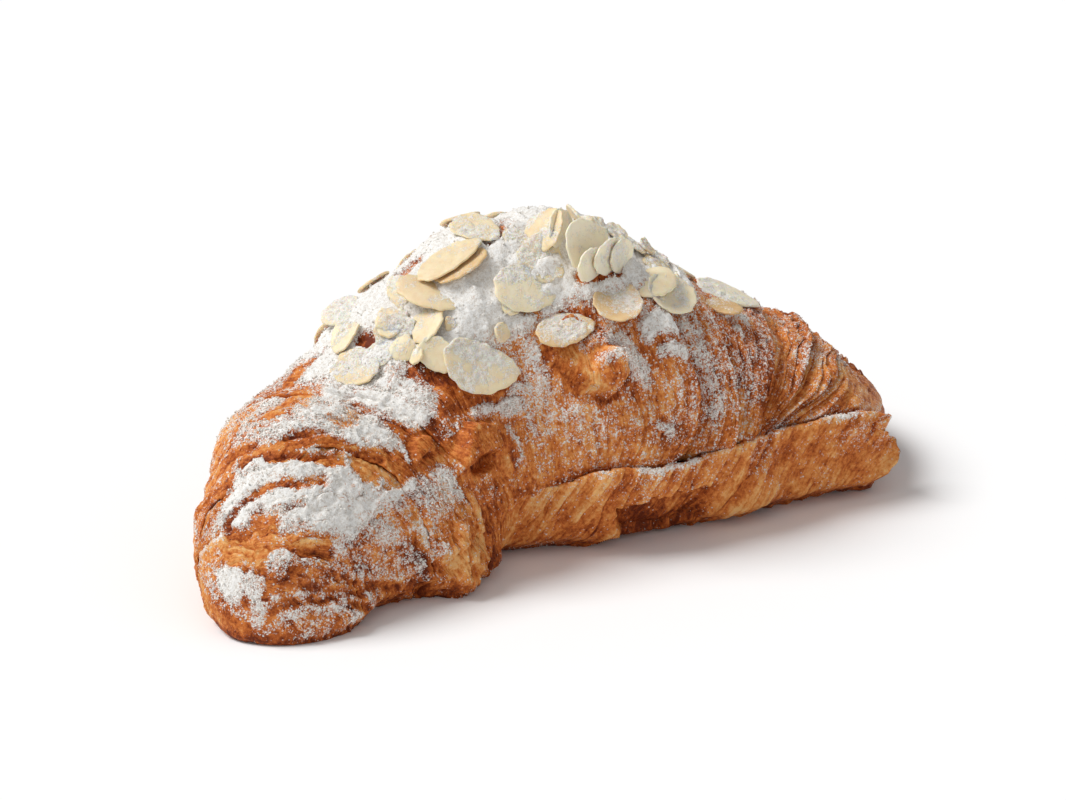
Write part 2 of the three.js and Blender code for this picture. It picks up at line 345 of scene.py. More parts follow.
crustLook = {
    "tones": [(0.0, (0.84, 0.47, 0.18)), (0.26, (0.74, 0.285, 0.072)), (0.50, (0.59, 0.165, 0.032)),
              (0.74, (0.37, 0.080, 0.013)), (1.0, (0.14, 0.022, 0.004))],  # pale to burnt
    # noise drawn out along the layers: frequency per millimetre across and along them, detail
    "drawn": {"streak": (1.0, 0.12, 4.0), "thread": (3.6, 0.3, 2.0), "fibre": (1.9, 0.5, 3.0),
              "crack": (0.55, 0.06, 2.0)},
    "drawnRoughness": 0.6, "crackWidth": 0.022,
    # even noise: size in millimetres, detail, roughness of the noise
    "even": {"patch": (4.5, 3.0, 0.6), "fleck": (0.9, 3.0, 0.75), "clump": (1.7, 3.0, 0.65)},
    # shares of these in the tone, in the sugar's cover and in the relief
    "lines": {"streak": 0.7, "thread": 0.5, "fibre": 0.8},
    # the crack's share in the tone is painted shade in the thin cracks
    "specks": {"fleck": 1.3, "patch": 0.9, "crack": 0.08},
    "cover": {"clump": 0.8, "fibre": -0.5, "crack": -0.10},
    "relief": {"streak": 0.5, "thread": 0.6, "fibre": 0.9, "crack": -0.2},
    "fleckRelief": 0.7, "fleckFilled": 0.3, "whiteRelief": 0.3, "heapRelief": 0.10, "fineRelief": 0.03,
    "roughness": 0.52, "sugarRoughness": 0.95, "shine": 0.15, "bump": (0.75, 0.45),  # strength, millimetres
}


def crustMaterial(name, contrast):
    # browning tone picks the colour, lines and thin cracks follow the layers, the cracks darkened as painted
    # shade, sugar covers it grain by grain
    look, sheet = crustLook, Sheet(name)
    place = sheet.place()
    layerPlace = sheet.add("ShaderNodeUVMap", {"uv_map": "layers"})
    parts = {key: sheet.speckle(place, *row) for key, row in look["even"].items()}
    for key, (across, along, detail) in look["drawn"].items():
        stretched = sheet.add("ShaderNodeMapping", {}, {"Vector": layerPlace, "Scale": (across, along, 1)})
        parts[key] = sheet.grain(stretched, 1.0, detail, look["drawnRoughness"]) - 0.5
    parts["crack"] = 1 - sheet.between(parts["crack"].math("ABSOLUTE"), 0.0, look["crackWidth"])
    tone = sheet.attribute("tone") + blend(parts, look["lines"]) * contrast + blend(parts, look["specks"])
    crust = sheet.add("ShaderNodeValToRGB", {"stops": look["tones"]}, {"Fac": tone})
    white, solid, fine = frost(sheet, place, sheet.attribute("sugar") + blend(parts, look["cover"]))
    colour = sheet.mix(white, crust, sugarColourAndShade(sheet, fine))
    roughness = white * (look["sugarRoughness"] - look["roughness"]) + look["roughness"]
    relief = blend(parts, look["relief"]) * (1 - solid) + white * look["whiteRelief"]
    relief = relief + parts["fleck"] * (look["fleckRelief"] - solid * look["fleckFilled"])
    relief = relief + fine * (solid * look["heapRelief"] + look["fineRelief"])
    return sheet.finish({"Base Color": colour, "Roughness": roughness, "Specular IOR Level": look["shine"],
                         "Normal": sheet.bumped(relief, *look["bump"])})


# Layers of the roll from the middle outwards: reach of each torn edge at these angles, 0 in the middle to 1
# at a tip; height of its step in front and over the ridge; number of thin sheets and their height
edgeAngles = np.array([-90, -25, 0, 20, 40, 60, 90, 130, 180, 225, 270.0])
layers = {
    "left": [
        ((0.44, 0.42, 0.43, 0.48, 0.52, 0.56, 0.62, 0.66, 0.66, 0.52), (0.4, 0.9), 14, 0.20),
        ((0.66, 0.65, 0.65, 0.655, 0.67, 0.725, 0.85, 0.90, 0.88, 0.75), (0.4, 0.5), 9, 0.60),
        ((0.86, 0.86, 0.86, 0.865, 0.885, 0.93, 0.945, 0.935, 0.93, 0.90), (0.2, 0.5), 7, 0.50),
        ((1.0,) * 10, (0.4, 0.4), 7, 0.45),
    ],
    "right": [
        ((0.20, 0.17, 0.22, 0.32, 0.31, 0.27, 0.25, 0.27, 0.28, 0.24), (3.4, 1.6), 8, 0.28),
        ((0.38, 0.36, 0.41, 0.455, 0.455, 0.44, 0.45, 0.50, 0.52, 0.44), (3.2, 1.8), 7, 0.30),
        ((0.46, 0.44, 0.47, 0.58, 0.66, 0.69, 0.73, 0.76, 0.76, 0.60), (2.4, 2.8), 6, 0.36),
        ((0.50, 0.48, 0.50, 0.70, 0.80, 0.84, 0.88, 0.89, 0.88, 0.72), (1.6, 2.4), 4, 0.85),
        ((0.56, 0.53, 0.53, 0.82, 0.90, 0.94, 0.96, 0.96, 0.95, 0.83), (1.2, 1.6), 4, 0.90),
        ((1.0,) * 10, (0.3, 0.3), 6, 0.95),
    ],
}

# Finer relief of the pastry, in millimetres
crumb = {
    "columns": 300, "denseAngle": 50, "crowding": 0.5,
    "perDegree": 0.6, "lane": 40, "tipFade": 0.12,  # UV map: scale around, shift per layer, fade at the tip
    "saws": (0.02, 0.10, 0.28, 0.52, 0.76, 0.92, 0.99),  # share of a thin sheet, and its height there
    "profile": (-0.55, 0.0, 0.3, 0.55, 0.8, 1.0, 0.8),
    "sheetWide": 2.2, "sheetWobble": 0.42, "wobbleDegrees": 17,
    "strength": (0.5, 0.9), "strengthDegrees": 15, "strengthRange": (0.02, 1.3),  # uneven sheets
    "stepDegrees": (35, 85), "leastHem": 0.5, "lastReach": 0.9995,
    "ragged": ((11, 0.9), (3.4, 0.4), (1.3, 0.2)),  # wavelength and depth of the torn edges
    "tuck": ((-4.0, -2.5), (-1.2, -0.5)),  # reach and height of the rings under the layer before
    "hem": ((0.0, 0.2), (0.05, 0.6), (0.0, 1.2), (-1.0, 2.0)),  # reach and share of the step at an edge
    "folds": ((7.0, 34.0, 0.55), (2.3, 16.0, 0.30), (0.9, 6.0, 0.16)),  # fibres: width, length, height
    "foldBend": (10.0, 0.5), "blister": (5.0, 0.35), "crumbs": (1.0, 0.16),  # size and height
    "swell": 1.2, "stepBelow": 0.2, "slitSoft": 5.0, "grooveDepth": 1.3, "grooveDegrees": 1.4,
    "slabInset": 6.5, "proudReach": 5, "proudHeight": 0.6, "proudMost": 1.2,
    "rugged": (3.2, 0.9), "ruggedZone": ((-50, 10, 8), (-0.72, -0.38, 0.06)),  # torn bend at the drooping end
}


def edgeReach(side, order, degrees):  # the table eased round, with a ragged hem except at the tip
    table = layers[side][order][0]
    reach = throughPoints(edgeAngles, np.array(table + table[:1]), degrees)
    if order < len(layers[side]) - 1:
        lane = 5.3 * order + 40.7 * (side == "left")
        for row, (wave, depth) in enumerate(crumb["ragged"]):
            reach = reach + depth / half * flatNoise(degrees * crumb["perDegree"] / wave, lane, 11 + row, 1)
    return reach


def layerRings(side, order, degrees):
    # sheets of one layer from the layer before to its own edge, each rising slowly and dropping at its end
    (front, ridge), count, sheetRise = layers[side][order][1:]
    inner = edgeReach(side, order - 1, degrees) if order else 0 * degrees
    outer = edgeReach(side, order, degrees)
    saw, profile = (np.tile(crumb[key], count)[:, None] for key in ("saws", "profile"))
    k = np.arange(count + 1)[:, None]
    seed = 50 + 7 * order + 3 * (side == "left")
    wobble = flatNoise(degrees / crumb["wobbleDegrees"], 7.3 * k, seed, 3) * (k > 0) * (k < count)
    bounds = inner + (outer - inner) * (k + crumb["sheetWobble"] * wobble) / count
    number = np.repeat(np.arange(count), len(crumb["saws"]))
    reach = bounds[number] + (bounds[number + 1] - bounds[number]) * saw
    number = number[:, None]
    mean, more = crumb["strength"]
    strength = mean + more * flatNoise(degrees / crumb["strengthDegrees"], number * 1.73 + 0.4, seed + 1, 2)
    rise = sheetRise * np.clip(strength, *crumb["strengthRange"])
    flat = 0 * reach
    rings = {
        "reach": reach, "share": (reach - inner) / np.maximum(outer - inner, 0.01), "saw": saw + flat,
        "sheet": rise * np.where(number > 0, profile, np.maximum(profile, 0)), "drop": flat,
        "before": (outer - reach) * half, "after": (reach - inner) * half + 99 * (order == 0),
        "across": (number + saw) * crumb["sheetWide"] + flat,
    }
    step = front + (ridge - front) * smooth(degrees, *crumb["stepDegrees"])
    if order < len(layers[side]) - 1:
        rings = addRings(rings, crumb["hem"], outer, True, -np.maximum(step, crumb["leastHem"]))
    if order > 0:
        rings = addRings(rings, crumb["tuck"], inner, False, 1 + 0 * step)
    sign = -1 if side == "left" else 1
    flat = 0 * rings["reach"]
    rings.update(step=step + flat, order=sign * (order + 1) + flat, degrees=degrees + flat)
    rings["along"] = sign * np.clip(rings["reach"], 0, crumb["lastReach"])
    return rings


def addRings(rings, table, reach, last, scale):  # copies of the end ring, moved by the table
    end = slice(-1, None) if last else slice(0, 1)
    added = {key: np.repeat(values[end], len(table), axis=0) for key, values in rings.items()}
    moves = np.array(table)
    added["reach"] = reach + moves[:, :1] / half
    added["drop"] = moves[:, 1:] * scale
    parts = (rings, added) if last else (added, rings)
    return {key: np.concatenate([part[key] for part in parts]) for key in rings}


# Torn places and the nub of rolled-out dough: along and angle of the middle, sizes in millimetres
torn = {
    "wander": (3.0, 0.16),  # size and share of the uneven rims
    "perDegree": 0.585, "hollowPerDegree": 0.55,  # millimetres of skin
    # half length, half width, height of the hood, depth of the pit below it
    "hoods": [(-0.395, 30.0, 9.8, 7.2, 3.6, 3.0), (-0.572, 41.0, 3.6, 4.0, 1.6, 0.4)],
    "dome": (0.62, 1.05), "hemBow": 0.35, "hemEdge": (-0.16, -0.04), "hoodSkin": (1.0, 1.3),
    "pitMiddle": (0.12, -0.34), "pitSize": (0.62, 0.48), "pitEdge": (-0.16, -0.02), "pitShade": (-0.7, -0.2),
    "nub": {"along": 0.012, "degrees": 44.0, "halfLength": 6.3, "halfWidth": 7.6, "height": 4.4, "lean": 3.9,
            "narrow": 0.55, "least": 0.3, "side": (0.86, 1.0), "skin": (1.0, 1.15), "shade": 0.7,
            "streak": 0.7},
    "curl": {"along": 0.055, "degrees": 39.0, "halfLength": 4.4, "halfWidth": 3.8, "height": 2.6,
             "pale": 1.4},
    # half length, half width, depth
    "hollows": [(-0.62, -6, 4.5, 3.5, 1.8), (-0.54, -12, 3.5, 3.0, 1.6), (-0.66, -16, 3.0, 3.0, 1.4),
                (-0.46, -4, 3.0, 2.2, 1.2)],
    "calm": 0.7,  # share of the fibres that torn skin lacks
}


def hoodRelief(a, b, wander):
    # dome cut off at its bowed hem, pit below that, the skin of both and the shade in the pit
    far = np.hypot(a, b) + wander
    hem = b + torn["hemBow"] * a * a + 0.5 * wander
    (pitA, pitB), (long, wide) = torn["pitMiddle"], torn["pitSize"]
    pit = 1 - smooth(np.hypot((a - pitA) / long, (b - pitB) / wide) + wander, 0.5, 1.0)
    pit = pit * (1 - smooth(hem, *torn["pitEdge"]))
    dome = (1 - smooth(far, *torn["dome"])) * smooth(hem, *torn["hemEdge"])
    skin = np.maximum(1 - smooth(far, *torn["hoodSkin"]), pit)
    return dome, pit, skin, pit * smooth(hem, *torn["pitShade"])


def tornRelief(along, degrees, plain):
    # hoods over pits; hollows: smooth dents; nub: a steep lump, highest at its lower end; curl: a round lump
    size, share = torn["wander"]
    wander = share * roughNoise(plain / size, 101, 2)
    height, skin, pale, shade = (0 * along for part in range(4))
    for middle, angle, long, wide, rim, depth in torn["hoods"]:
        a, b = (along - middle) * half / long, (degrees - angle) * torn["perDegree"] / wide
        dome, pit, hoodSkin, pitShade = hoodRelief(a, b, wander)
        height = height + rim * dome - depth * pit
        skin, shade = np.maximum(skin, hoodSkin), np.maximum(shade, pitShade)
    for middle, angle, long, wide, depth in torn["hollows"]:
        a, b = (along - middle) * half / long, (degrees - angle) * torn["hollowPerDegree"] / wide
        far = np.hypot(a, b) + wander
        height = height - depth * (1 - smooth(far, 0.5, 1.0))
        pale = np.maximum(pale, 1 - smooth(far, 0.7, 1.2))
    nub, curl = torn["nub"], torn["curl"]
    b = (degrees - nub["degrees"]) * torn["perDegree"] / nub["halfWidth"]
    a = ((along - nub["along"]) * half + nub["lean"] * b) / nub["halfLength"]
    far = (np.abs(a / (1 - nub["narrow"] * smooth(-b, 0.5, 1.0))) ** 4 + np.abs(b) ** 4) ** 0.25 + wander
    slope = nub["least"] + (1 - nub["least"]) * smooth(-b, -0.7, 0.5)
    height = height + nub["height"] * (1 - smooth(far, *nub["side"])) * slope
    skin = np.maximum(skin, 1 - smooth(far, *nub["skin"]))
    shade = np.maximum(shade, nub["shade"] * window(far, 0.98, 1.12, 0.06))
    streak = (1 - smooth(far, 0.85, 1.0)) * flatNoise(4.5 * a + 1.5 * b, 1.1 * b, 107, 3)
    a = (along - curl["along"]) * half / curl["halfLength"]
    b = (degrees - curl["degrees"]) * torn["perDegree"] / curl["halfWidth"]
    height = height + curl["height"] * (1 - smooth(np.hypot(a, b) + wander, 0.55, 1.0))
    pale = np.maximum(pale, curl["pale"] * bump(a, -1.0, 0.4) * bump(b, -0.6, 0.6)) + nub["streak"] * streak
    return height, skin, pale, shade


# Angle of the slit at these places along the roll, and where it opens
slitLine = {
    "along": (-0.36, -0.10, 0.0, 0.20, 0.50, 0.70, 0.82, 0.95), "opens": (-0.36, -0.02),
    "degrees": (0.5, 0.5, 4.5, 3.0, 4.0, 4.5, 6.5, 8.0),
}


def slitDegrees(along):  # straight between the places of the table
    return np.interp(along, slitLine["along"], slitLine["degrees"])


# Strokes on the skin: amount, half width in millimetres, then along and angle of the points on the way
sugarStrokes = [
    (0.6, 2.0, (-0.925, 85), (-0.915, 70), (-0.895, 56)), (0.55, 1.6, (-0.965, 95), (-0.955, 80)),
    (0.9, 1.2, (-0.805, 112), (-0.79, 100), (-0.775, 90), (-0.74, 78), (-0.70, 70), (-0.665, 62)),
    (0.8, 0.9, (-0.775, 108), (-0.755, 96), (-0.72, 86), (-0.68, 80)),
    (1.15, 3.6, (-0.915, 104), (-0.90, 92), (-0.89, 80), (-0.875, 66)),
    (1.1, 4.0, (-0.875, 62), (-0.85, 54), (-0.81, 50), (-0.77, 50)),
    (1.15, 3.4, (-0.865, 100), (-0.865, 88), (-0.85, 76), (-0.82, 66), (-0.79, 58)),
    (1.0, 3.4, (-0.84, 44), (-0.80, 42), (-0.75, 43), (-0.715, 38)),
    (1.1, 1.3, (-0.715, 37), (-0.69, 35.5), (-0.655, 34)),
    (0.75, 2.6, (-0.79, 30), (-0.77, 24), (-0.745, 18)),
    (1.0, 0.8, (-0.832, 92), (-0.805, 79), (-0.765, 67), (-0.735, 60)),
    (1.0, 2.2, (-0.80, 95), (-0.77, 88), (-0.72, 84), (-0.66, 80), (-0.60, 82)),
    (1.05, 3.0, (-0.735, 66), (-0.69, 62), (-0.65, 58)), (1.0, 2.4, (-0.66, 66), (-0.625, 66)),
    (0.9, 2.0, (-0.655, 52), (-0.635, 47)), (0.8, 1.4, (-0.77, 80), (-0.72, 76), (-0.66, 76)),
    (1.1, 6.0, (-0.56, 76), (-0.52, 66), (-0.47, 74), (-0.43, 82)),
    (1.05, 4.0, (-0.57, 62), (-0.54, 56), (-0.49, 56)),
    (1.1, 6.0, (-0.60, 84), (-0.56, 100), (-0.48, 104), (-0.40, 98)),
    (1.0, 2.2, (-0.50, 43), (-0.44, 43), (-0.38, 44), (-0.31, 43)),
    (0.95, 2.2, (-0.30, 42), (-0.25, 41), (-0.21, 40)), (0.75, 4.4, (-0.60, 28), (-0.555, 26), (-0.51, 24)),
    (0.45, 3.0, (-0.62, 20), (-0.56, 18)), (0.5, 3.0, (-0.47, 58), (-0.40, 56)),
    (1.1, 1.6, (-0.982, 118), (-0.98, 100), (-0.982, 84)), (1.0, 1.4, (-0.965, 78), (-0.96, 66)),
    (0.9, 1.2, (-0.925, 11), (-0.91, 9)), (0.6, 2.0, (-0.99, 60), (-0.985, 40)),
    (0.6, 3.0, (-0.95, 128), (-0.90, 121), (-0.85, 116)),
    (0.8, 2.4, (-0.79, 112), (-0.73, 109), (-0.67, 110)),
    (0.7, 2.0, (-0.80, 126), (-0.74, 124), (-0.68, 125)), (1.1, 2.4, (0.205, 47), (0.25, 49), (0.295, 48)),
    (0.95, 1.4, (0.235, 40), (0.28, 40.5), (0.30, 38)), (0.8, 1.2, (0.19, 18), (0.225, 15)),
    (0.62, 4.5, (0.36, 54), (0.37, 44), (0.365, 34), (0.375, 22)),
    (1.0, 1.6, (0.0, 47.5), (0.04, 48), (0.085, 47)), (0.75, 2.6, (0.12, 46), (0.14, 40), (0.17, 34)),
    (0.64, 5.0, (-0.20, 46), (-0.16, 38), (-0.13, 30)), (0.58, 3.6, (-0.13, 52), (-0.09, 42), (-0.06, 32)),
    (0.5, 4.0, (-0.08, 34), (-0.06, 24)), (0.95, 0.7, (-0.80, 90), (-0.765, 78), (-0.725, 66), (-0.70, 58)),
    (0.85, 0.6, (-0.825, 100), (-0.785, 82), (-0.745, 68)),
    (1.1, 1.6, (0.03, 41), (0.06, 40.5), (0.085, 39.5)),
    (0.85, 0.9, (-0.255, 33), (-0.225, 27), (-0.215, 20)),
    (0.7, 2.0, (-0.29, 36), (-0.26, 33), (-0.235, 26)), (0.95, 2.2, (0.53, 58), (0.57, 60), (0.60, 57)),
    (0.7, 1.4, (0.55, 50), (0.57, 46)),
]
bareStrokes = [  # sugar taken away
    (0.2, 4.0, (-0.92, 132), (-0.86, 124), (-0.80, 127), (-0.72, 124)),
    (0.3, 2.0, (-0.88, 112), (-0.84, 108), (-0.80, 112)),
    (1.0, 0.6, (-0.93, 108), (-0.91, 100), (-0.89, 90), (-0.87, 80), (-0.855, 71)),
    (1.0, 1.0, (-0.85, 71), (-0.832, 66)), (0.7, 0.5, (-0.905, 75), (-0.885, 68)),
    (1.1, 0.9, (-0.84, 89), (-0.82, 78), (-0.80, 69), (-0.775, 62)),
    (1.0, 0.7, (-0.85, 103), (-0.82, 90), (-0.80, 81), (-0.76, 70), (-0.725, 61)),
    (1.1, 2.6, (-0.735, 53), (-0.70, 50), (-0.68, 46)), (1.0, 1.6, (-0.69, 40), (-0.66, 40), (-0.645, 46)),
    (0.7, 0.5, (-0.79, 77), (-0.74, 67)), (0.7, 0.5, (-0.80, 87), (-0.75, 74)),
    (1.0, 0.7, (-0.955, 108), (-0.945, 95), (-0.945, 75), (-0.935, 65), (-0.92, 52), (-0.90, 46)),
    (0.9, 1.6, (-0.958, 105), (-0.955, 85)), (0.8, 1.2, (-0.925, 90), (-0.925, 80)),
    (0.45, 1.8, (-0.70, 72), (-0.66, 71), (-0.63, 72)),
    (0.6, 1.2, (-0.615, 78), (-0.61, 68), (-0.595, 58), (-0.585, 50)),
    (0.6, 3.0, (-0.59, 42), (-0.55, 41), (-0.515, 42)), (1.3, 1.3, (-0.468, 92), (-0.462, 90)),
    (1.0, 2.4, (-0.455, 68), (-0.42, 62), (-0.40, 56)),
    (1.0, 2.4, (-0.45, 49), (-0.36, 49.5), (-0.28, 49), (-0.22, 50)),
    (0.5, 3.0, (-0.73, 98), (-0.68, 98), (-0.61, 98)), (0.9, 1.5, (-0.58, 114), (-0.53, 111)),
    (1.0, 1.6, (-0.325, 95), (-0.27, 96)), (1.2, 5.0, (-0.44, 30), (-0.36, 28), (-0.29, 24)),
    (1.0, 2.0, (-0.085, 53), (-0.05, 46), (-0.015, 38)), (0.9, 1.4, (0.04, 36), (0.09, 36)),
    (1.2, 0.9, (0.05, 65), (0.10, 64), (0.18, 65)), (0.9, 0.9, (-0.16, 66), (-0.12, 64), (-0.09, 62)),
    (0.8, 1.0, (-0.14, 83), (-0.09, 84), (-0.05, 88)),
]
bakedStrokes = [  # darker where the amount is above 0, paler below
    (0.28, 0.9, (-0.955, 62), (-0.93, 50), (-0.895, 42), (-0.85, 36), (-0.81, 30)),
    (0.1, 1.6, (-0.95, 34), (-0.90, 27), (-0.86, 21), (-0.82, 12)),
    (0.1, 1.4, (-0.93, 18), (-0.89, 10), (-0.85, 2)), (0.25, 2.2, (-0.72, 10), (-0.70, 2), (-0.68, -8)),
    (0.35, 0.6, (-0.93, 108), (-0.91, 100), (-0.89, 90), (-0.87, 80), (-0.855, 71)),
    (0.3, 1.6, (-0.70, 31), (-0.66, 30)), (0.3, 1.4, (-0.615, 78), (-0.61, 68), (-0.595, 58), (-0.585, 50)),
    (0.25, 3.0, (-0.59, 42), (-0.55, 41), (-0.515, 42)),
    (0.22, 2.6, (-0.45, 49), (-0.36, 49.5), (-0.28, 49), (-0.22, 50)),
    # the wide stroke of -0.10 low on the drooping end's front is paler as painted light from the floor
    (0.3, 2.4, (-0.455, 68), (-0.42, 62), (-0.40, 56)), (-0.10, 7.0, (-0.97, 10), (-0.88, 8), (-0.78, 6)),
    (-0.14, 6.0, (-0.68, 6), (-0.58, 6), (-0.46, 4)), (-0.10, 4.0, (-0.60, 12), (-0.50, 12)),
    (0.35, 2.6, (-0.72, -15), (-0.69, -12), (-0.66, -10)), (0.35, 3.4, (-0.39, -18), (-0.35, -22)),
    (0.16, 4.0, (0.36, 50), (0.37, 36), (0.37, 20)), (0.28, 7.0, (0.53, 46), (0.53, 34), (0.56, 26)),
    (0.08, 4.5, (0.72, 18), (0.80, 18), (0.90, 18)), (-0.07, 6.0, (0.86, 50), (0.90, 30), (0.94, 16)),
    (-0.06, 4.0, (0.25, 34), (0.27, 22)),
    (0.26, 1.0, (-0.25, 2), (-0.10, 2.5), (0.0, 6.5), (0.20, 5), (0.50, 6), (0.70, 6.5), (0.82, 8.5)),
    (0.45, 1.2, (-0.268, 30), (-0.248, 24), (-0.235, 18)), (0.5, 1.2, (-0.468, 92), (-0.462, 90)),
    (0.4, 0.9, (0.05, 65), (0.10, 64), (0.18, 65)),
]
creaseStrokes = [  # folds pressed in, so the amount is a depth in millimetres
    (1.1, 0.6, (-0.946, 107), (-0.949, 88), (-0.944, 74), (-0.935, 57), (-0.90, 41)),
    (0.9, 0.9, (-0.985, 95), (-0.977, 67), (-0.923, 34), (-0.853, 7), (-0.75, -10)),
    (1.0, 0.7, (-0.985, 70), (-0.975, 54.6), (-0.929, 26), (-0.863, 4)),
    (1.0, 0.7, (-0.985, 50), (-0.975, 40), (-0.921, 14), (-0.86, -6)),
    (1.2, 0.5, (-0.845, 99.6), (-0.829, 88), (-0.815, 77), (-0.763, 66), (-0.717, 58), (-0.69, 50)),
    (0.6, 0.6, (-0.849, 130), (-0.831, 117), (-0.823, 104), (-0.804, 91), (-0.77, 80)),
    (0.6, 0.6, (-0.82, 132), (-0.80, 118), (-0.793, 109), (-0.78, 98), (-0.75, 87)),
    (0.6, 0.6, (-0.79, 130), (-0.775, 116), (-0.759, 105.6), (-0.735, 94)),
    (0.5, 0.6, (-0.909, 116), (-0.872, 109), (-0.845, 102), (-0.83, 92)),
    (0.9, 1.0, (-0.69, 12), (-0.675, 3), (-0.665, -8), (-0.66, -20)),
]
# Sides of a stroke: full and gone in half widths, soft in millimetres
strokeSides = {"wander": 0.35, "full": 0.4, "gone": 1.3, "soft": 0.2}


def girth(along):  # millimetres of skin per degree, from the mean of width and height
    width = throughPoints(roll["along"], roll["halfWidth"], along)
    height = throughPoints(roll["along"], roll["height"], along)
    cap = capShape((1 + along) / roll["leftShare"], roll["leftPower"])
    return np.radians(0.5 * width + 0.25 * height) * np.maximum(cap, 0.05)


def strokes(rows, along, degrees, wander):
    # largest stroke at each place: full inside its half width, faded out round it, with a wandering edge
    perDegree = girth(along)
    uneven = 1 + strokeSides["wander"] * wander
    most = np.zeros(along.shape)
    for amount, wide, *stops in rows:
        near = np.full(along.shape, 1e9)
        for start, stop in zip(stops[:-1], stops[1:]):
            wayX, wayY = (stop[0] - start[0]) * half, (stop[1] - start[1]) * perDegree
            x, y = (along - start[0]) * half, (degrees - start[1]) * perDegree
            share = np.clip((x * wayX + y * wayY) / (wayX ** 2 + wayY ** 2), 0, 1)
            near = np.minimum(near, np.hypot(x - share * wayX, y - share * wayY))
        gone = strokeSides["gone"] * wide + strokeSides["soft"]
        part = amount * (1 - smooth(near * uneven, strokeSides["full"] * wide, gone))
        most = np.where(np.abs(part) > np.abs(most), part, most)
    return most


def zonePart(along, degrees, around, span):  # 1 in a patch of skin; each row says low, high and softness
    return window(degrees, *around) * window(along, *span)


# Sugar on the skin, heights and sizes in millimetres
dusting = {
    "top": {"cover": 1.3, "front": (51, 65), "back": (110, 154), "backWander": 24,
            "along": (-0.60, 0.41, 0.08), "alongWander": 0.10, "size": 13.0},
    "zones": [  # cover, angles, along
        (0.48, (46, 62, 8), (-0.55, 0.45, 0.10)), (0.38, (8, 44, 12), (-0.75, 0.60, 0.12)),
        (0.50, (-8, 92, 10), (-0.995, -0.60, 0.03)), (0.50, (96, 150, 12), (-0.995, -0.62, 0.03)),
        (0.35, (27, 120, 10), (0.40, 0.99, 0.05)), (0.19, (0, 30, 6), (0.48, 1.1, 0.05)),
        (0.32, (122, 165, 12), (-0.9, 0.9, 0.1)),
    ],
    "fields": [  # on the drooping end: cover, then along of the left and the right side at fieldDegrees
        (0.92, (-0.79, -0.87, -0.915, -0.935, -0.95), (-0.72, -0.70, -0.73, -0.80, -0.86)),
        (0.86, (-0.65, -0.672, -0.712, -0.785, -0.835), (-0.62, -0.61, -0.60, -0.60, -0.66)),
    ],
    "fieldDegrees": (34, 45, 60, 80, 106), "fieldRange": (38, 102, 6), "fieldSoft": (-0.012, 0.02),
    "broken": 0.22, "brokenSize": (4.0, 16), "wander": 0.12, "wanderSize": 2.2, "range": (0.02, 1.4),
    "bareEdges": {"sheet": 0.30, "hem": 0.40, "shelter": 0.5, "crack": 0.8}, "bareDegrees": 28,
    "topKept": 0.8, "creaseBare": 0.34, "skinBare": 0.45, "proud": 0.16,
    "heap": (0.5, 1.0), "heapCalm": 0.75, "depth": 0.9, "lumpDepth": 0.8, "lumps": ((3.2, 0.6), (1.1, 0.5)),
    "drift": (5.5, 0.4, 1.2), "driftZone": ((64, 90, 6), (-0.55, 0.36, 0.05)),  # size, least and more depth
}


def topPart(along, degrees, plain):  # crown of the roll, with a wandering edge at its back and its ends
    top = dusting["top"]
    broad = roughNoise(plain / top["size"], 68, 3)
    around = smooth(degrees, *top["front"]) * (1 - smooth(degrees + top["backWander"] * broad, *top["back"]))
    return around * window(along + top["alongWander"] * broad, *top["along"])


def fieldPart(along, degrees, low, high):  # 1 between two sides that change with the angle
    left, right = (np.interp(degrees, dusting["fieldDegrees"], side) for side in (low, high))
    sides = smooth(along - left, *dusting["fieldSoft"]) * smooth(right - along, *dusting["fieldSoft"])
    return sides * window(degrees, *dusting["fieldRange"])


def sugarCover(rings, plain):
    # largest of zones, fields and strokes, broken by noise, less on some torn edges and on bare strokes
    along, degrees, across = rings["along"], rings["degrees"], rings["across"]
    saw, sheet = rings["saw"], rings["sheet"]
    wander = roughNoise(plain / dusting["wanderSize"], 65, 3)
    top = topPart(along, degrees, plain)
    covers = [dusting["top"]["cover"] * top, strokes(sugarStrokes, along, degrees, wander)]
    covers += [cover * zonePart(along, degrees, *zone) for cover, *zone in dusting["zones"]]
    covers += [cover * fieldPart(along, degrees, *sides) for cover, *sides in dusting["fields"]]
    cover = np.maximum.reduce(covers)
    wide, long = dusting["brokenSize"]
    broken = flatNoise(rings["order"] * 9 + across / wide, degrees * crumb["perDegree"] / long, 61, 3)
    cover = cover + (dusting["broken"] * broken + dusting["wander"] * wander) * smooth(cover, 0.0, 0.5)
    edges = {
        "sheet": smooth(saw, 0.60, 0.9) * smooth(sheet, 0.2, 0.6),
        "crack": (1 - smooth(saw, 0.02, 0.12)) * smooth(-sheet, 0.1, 0.5),
        "hem": 1 - smooth(rings["before"], 0.2, 1.2), "shelter": 1 - smooth(rings["after"], 0.6, 2.2),
    }
    lane = rings["order"] * 5 + np.floor(across / crumb["sheetWide"]) * 0.7
    patches = smooth(flatNoise(lane, degrees / dusting["bareDegrees"], 66, 2), -0.1, 0.4)
    bare = np.maximum.reduce([share * edges[key] for key, share in dusting["bareEdges"].items()])
    cover = cover - bare * patches * (1 - dusting["topKept"] * top)
    return np.clip(cover - strokes(bareStrokes, along, degrees, wander), *dusting["range"])


def sugarDepth(along, degrees, plain):  # heaped sugar: lumps of two sizes, and a drift along the ridge
    (coarse, coarseShare), (fine, fineShare) = dusting["lumps"]
    lumps = coarseShare * roughNoise(plain / coarse, 87, 3) + fineShare * roughNoise(plain / fine, 88, 2)
    size, least, more = dusting["drift"]
    drift = zonePart(along, degrees, *dusting["driftZone"]) * (least + more * roughNoise(plain / size, 89, 2))
    return dusting["depth"] + dusting["lumpDepth"] * lumps + drift


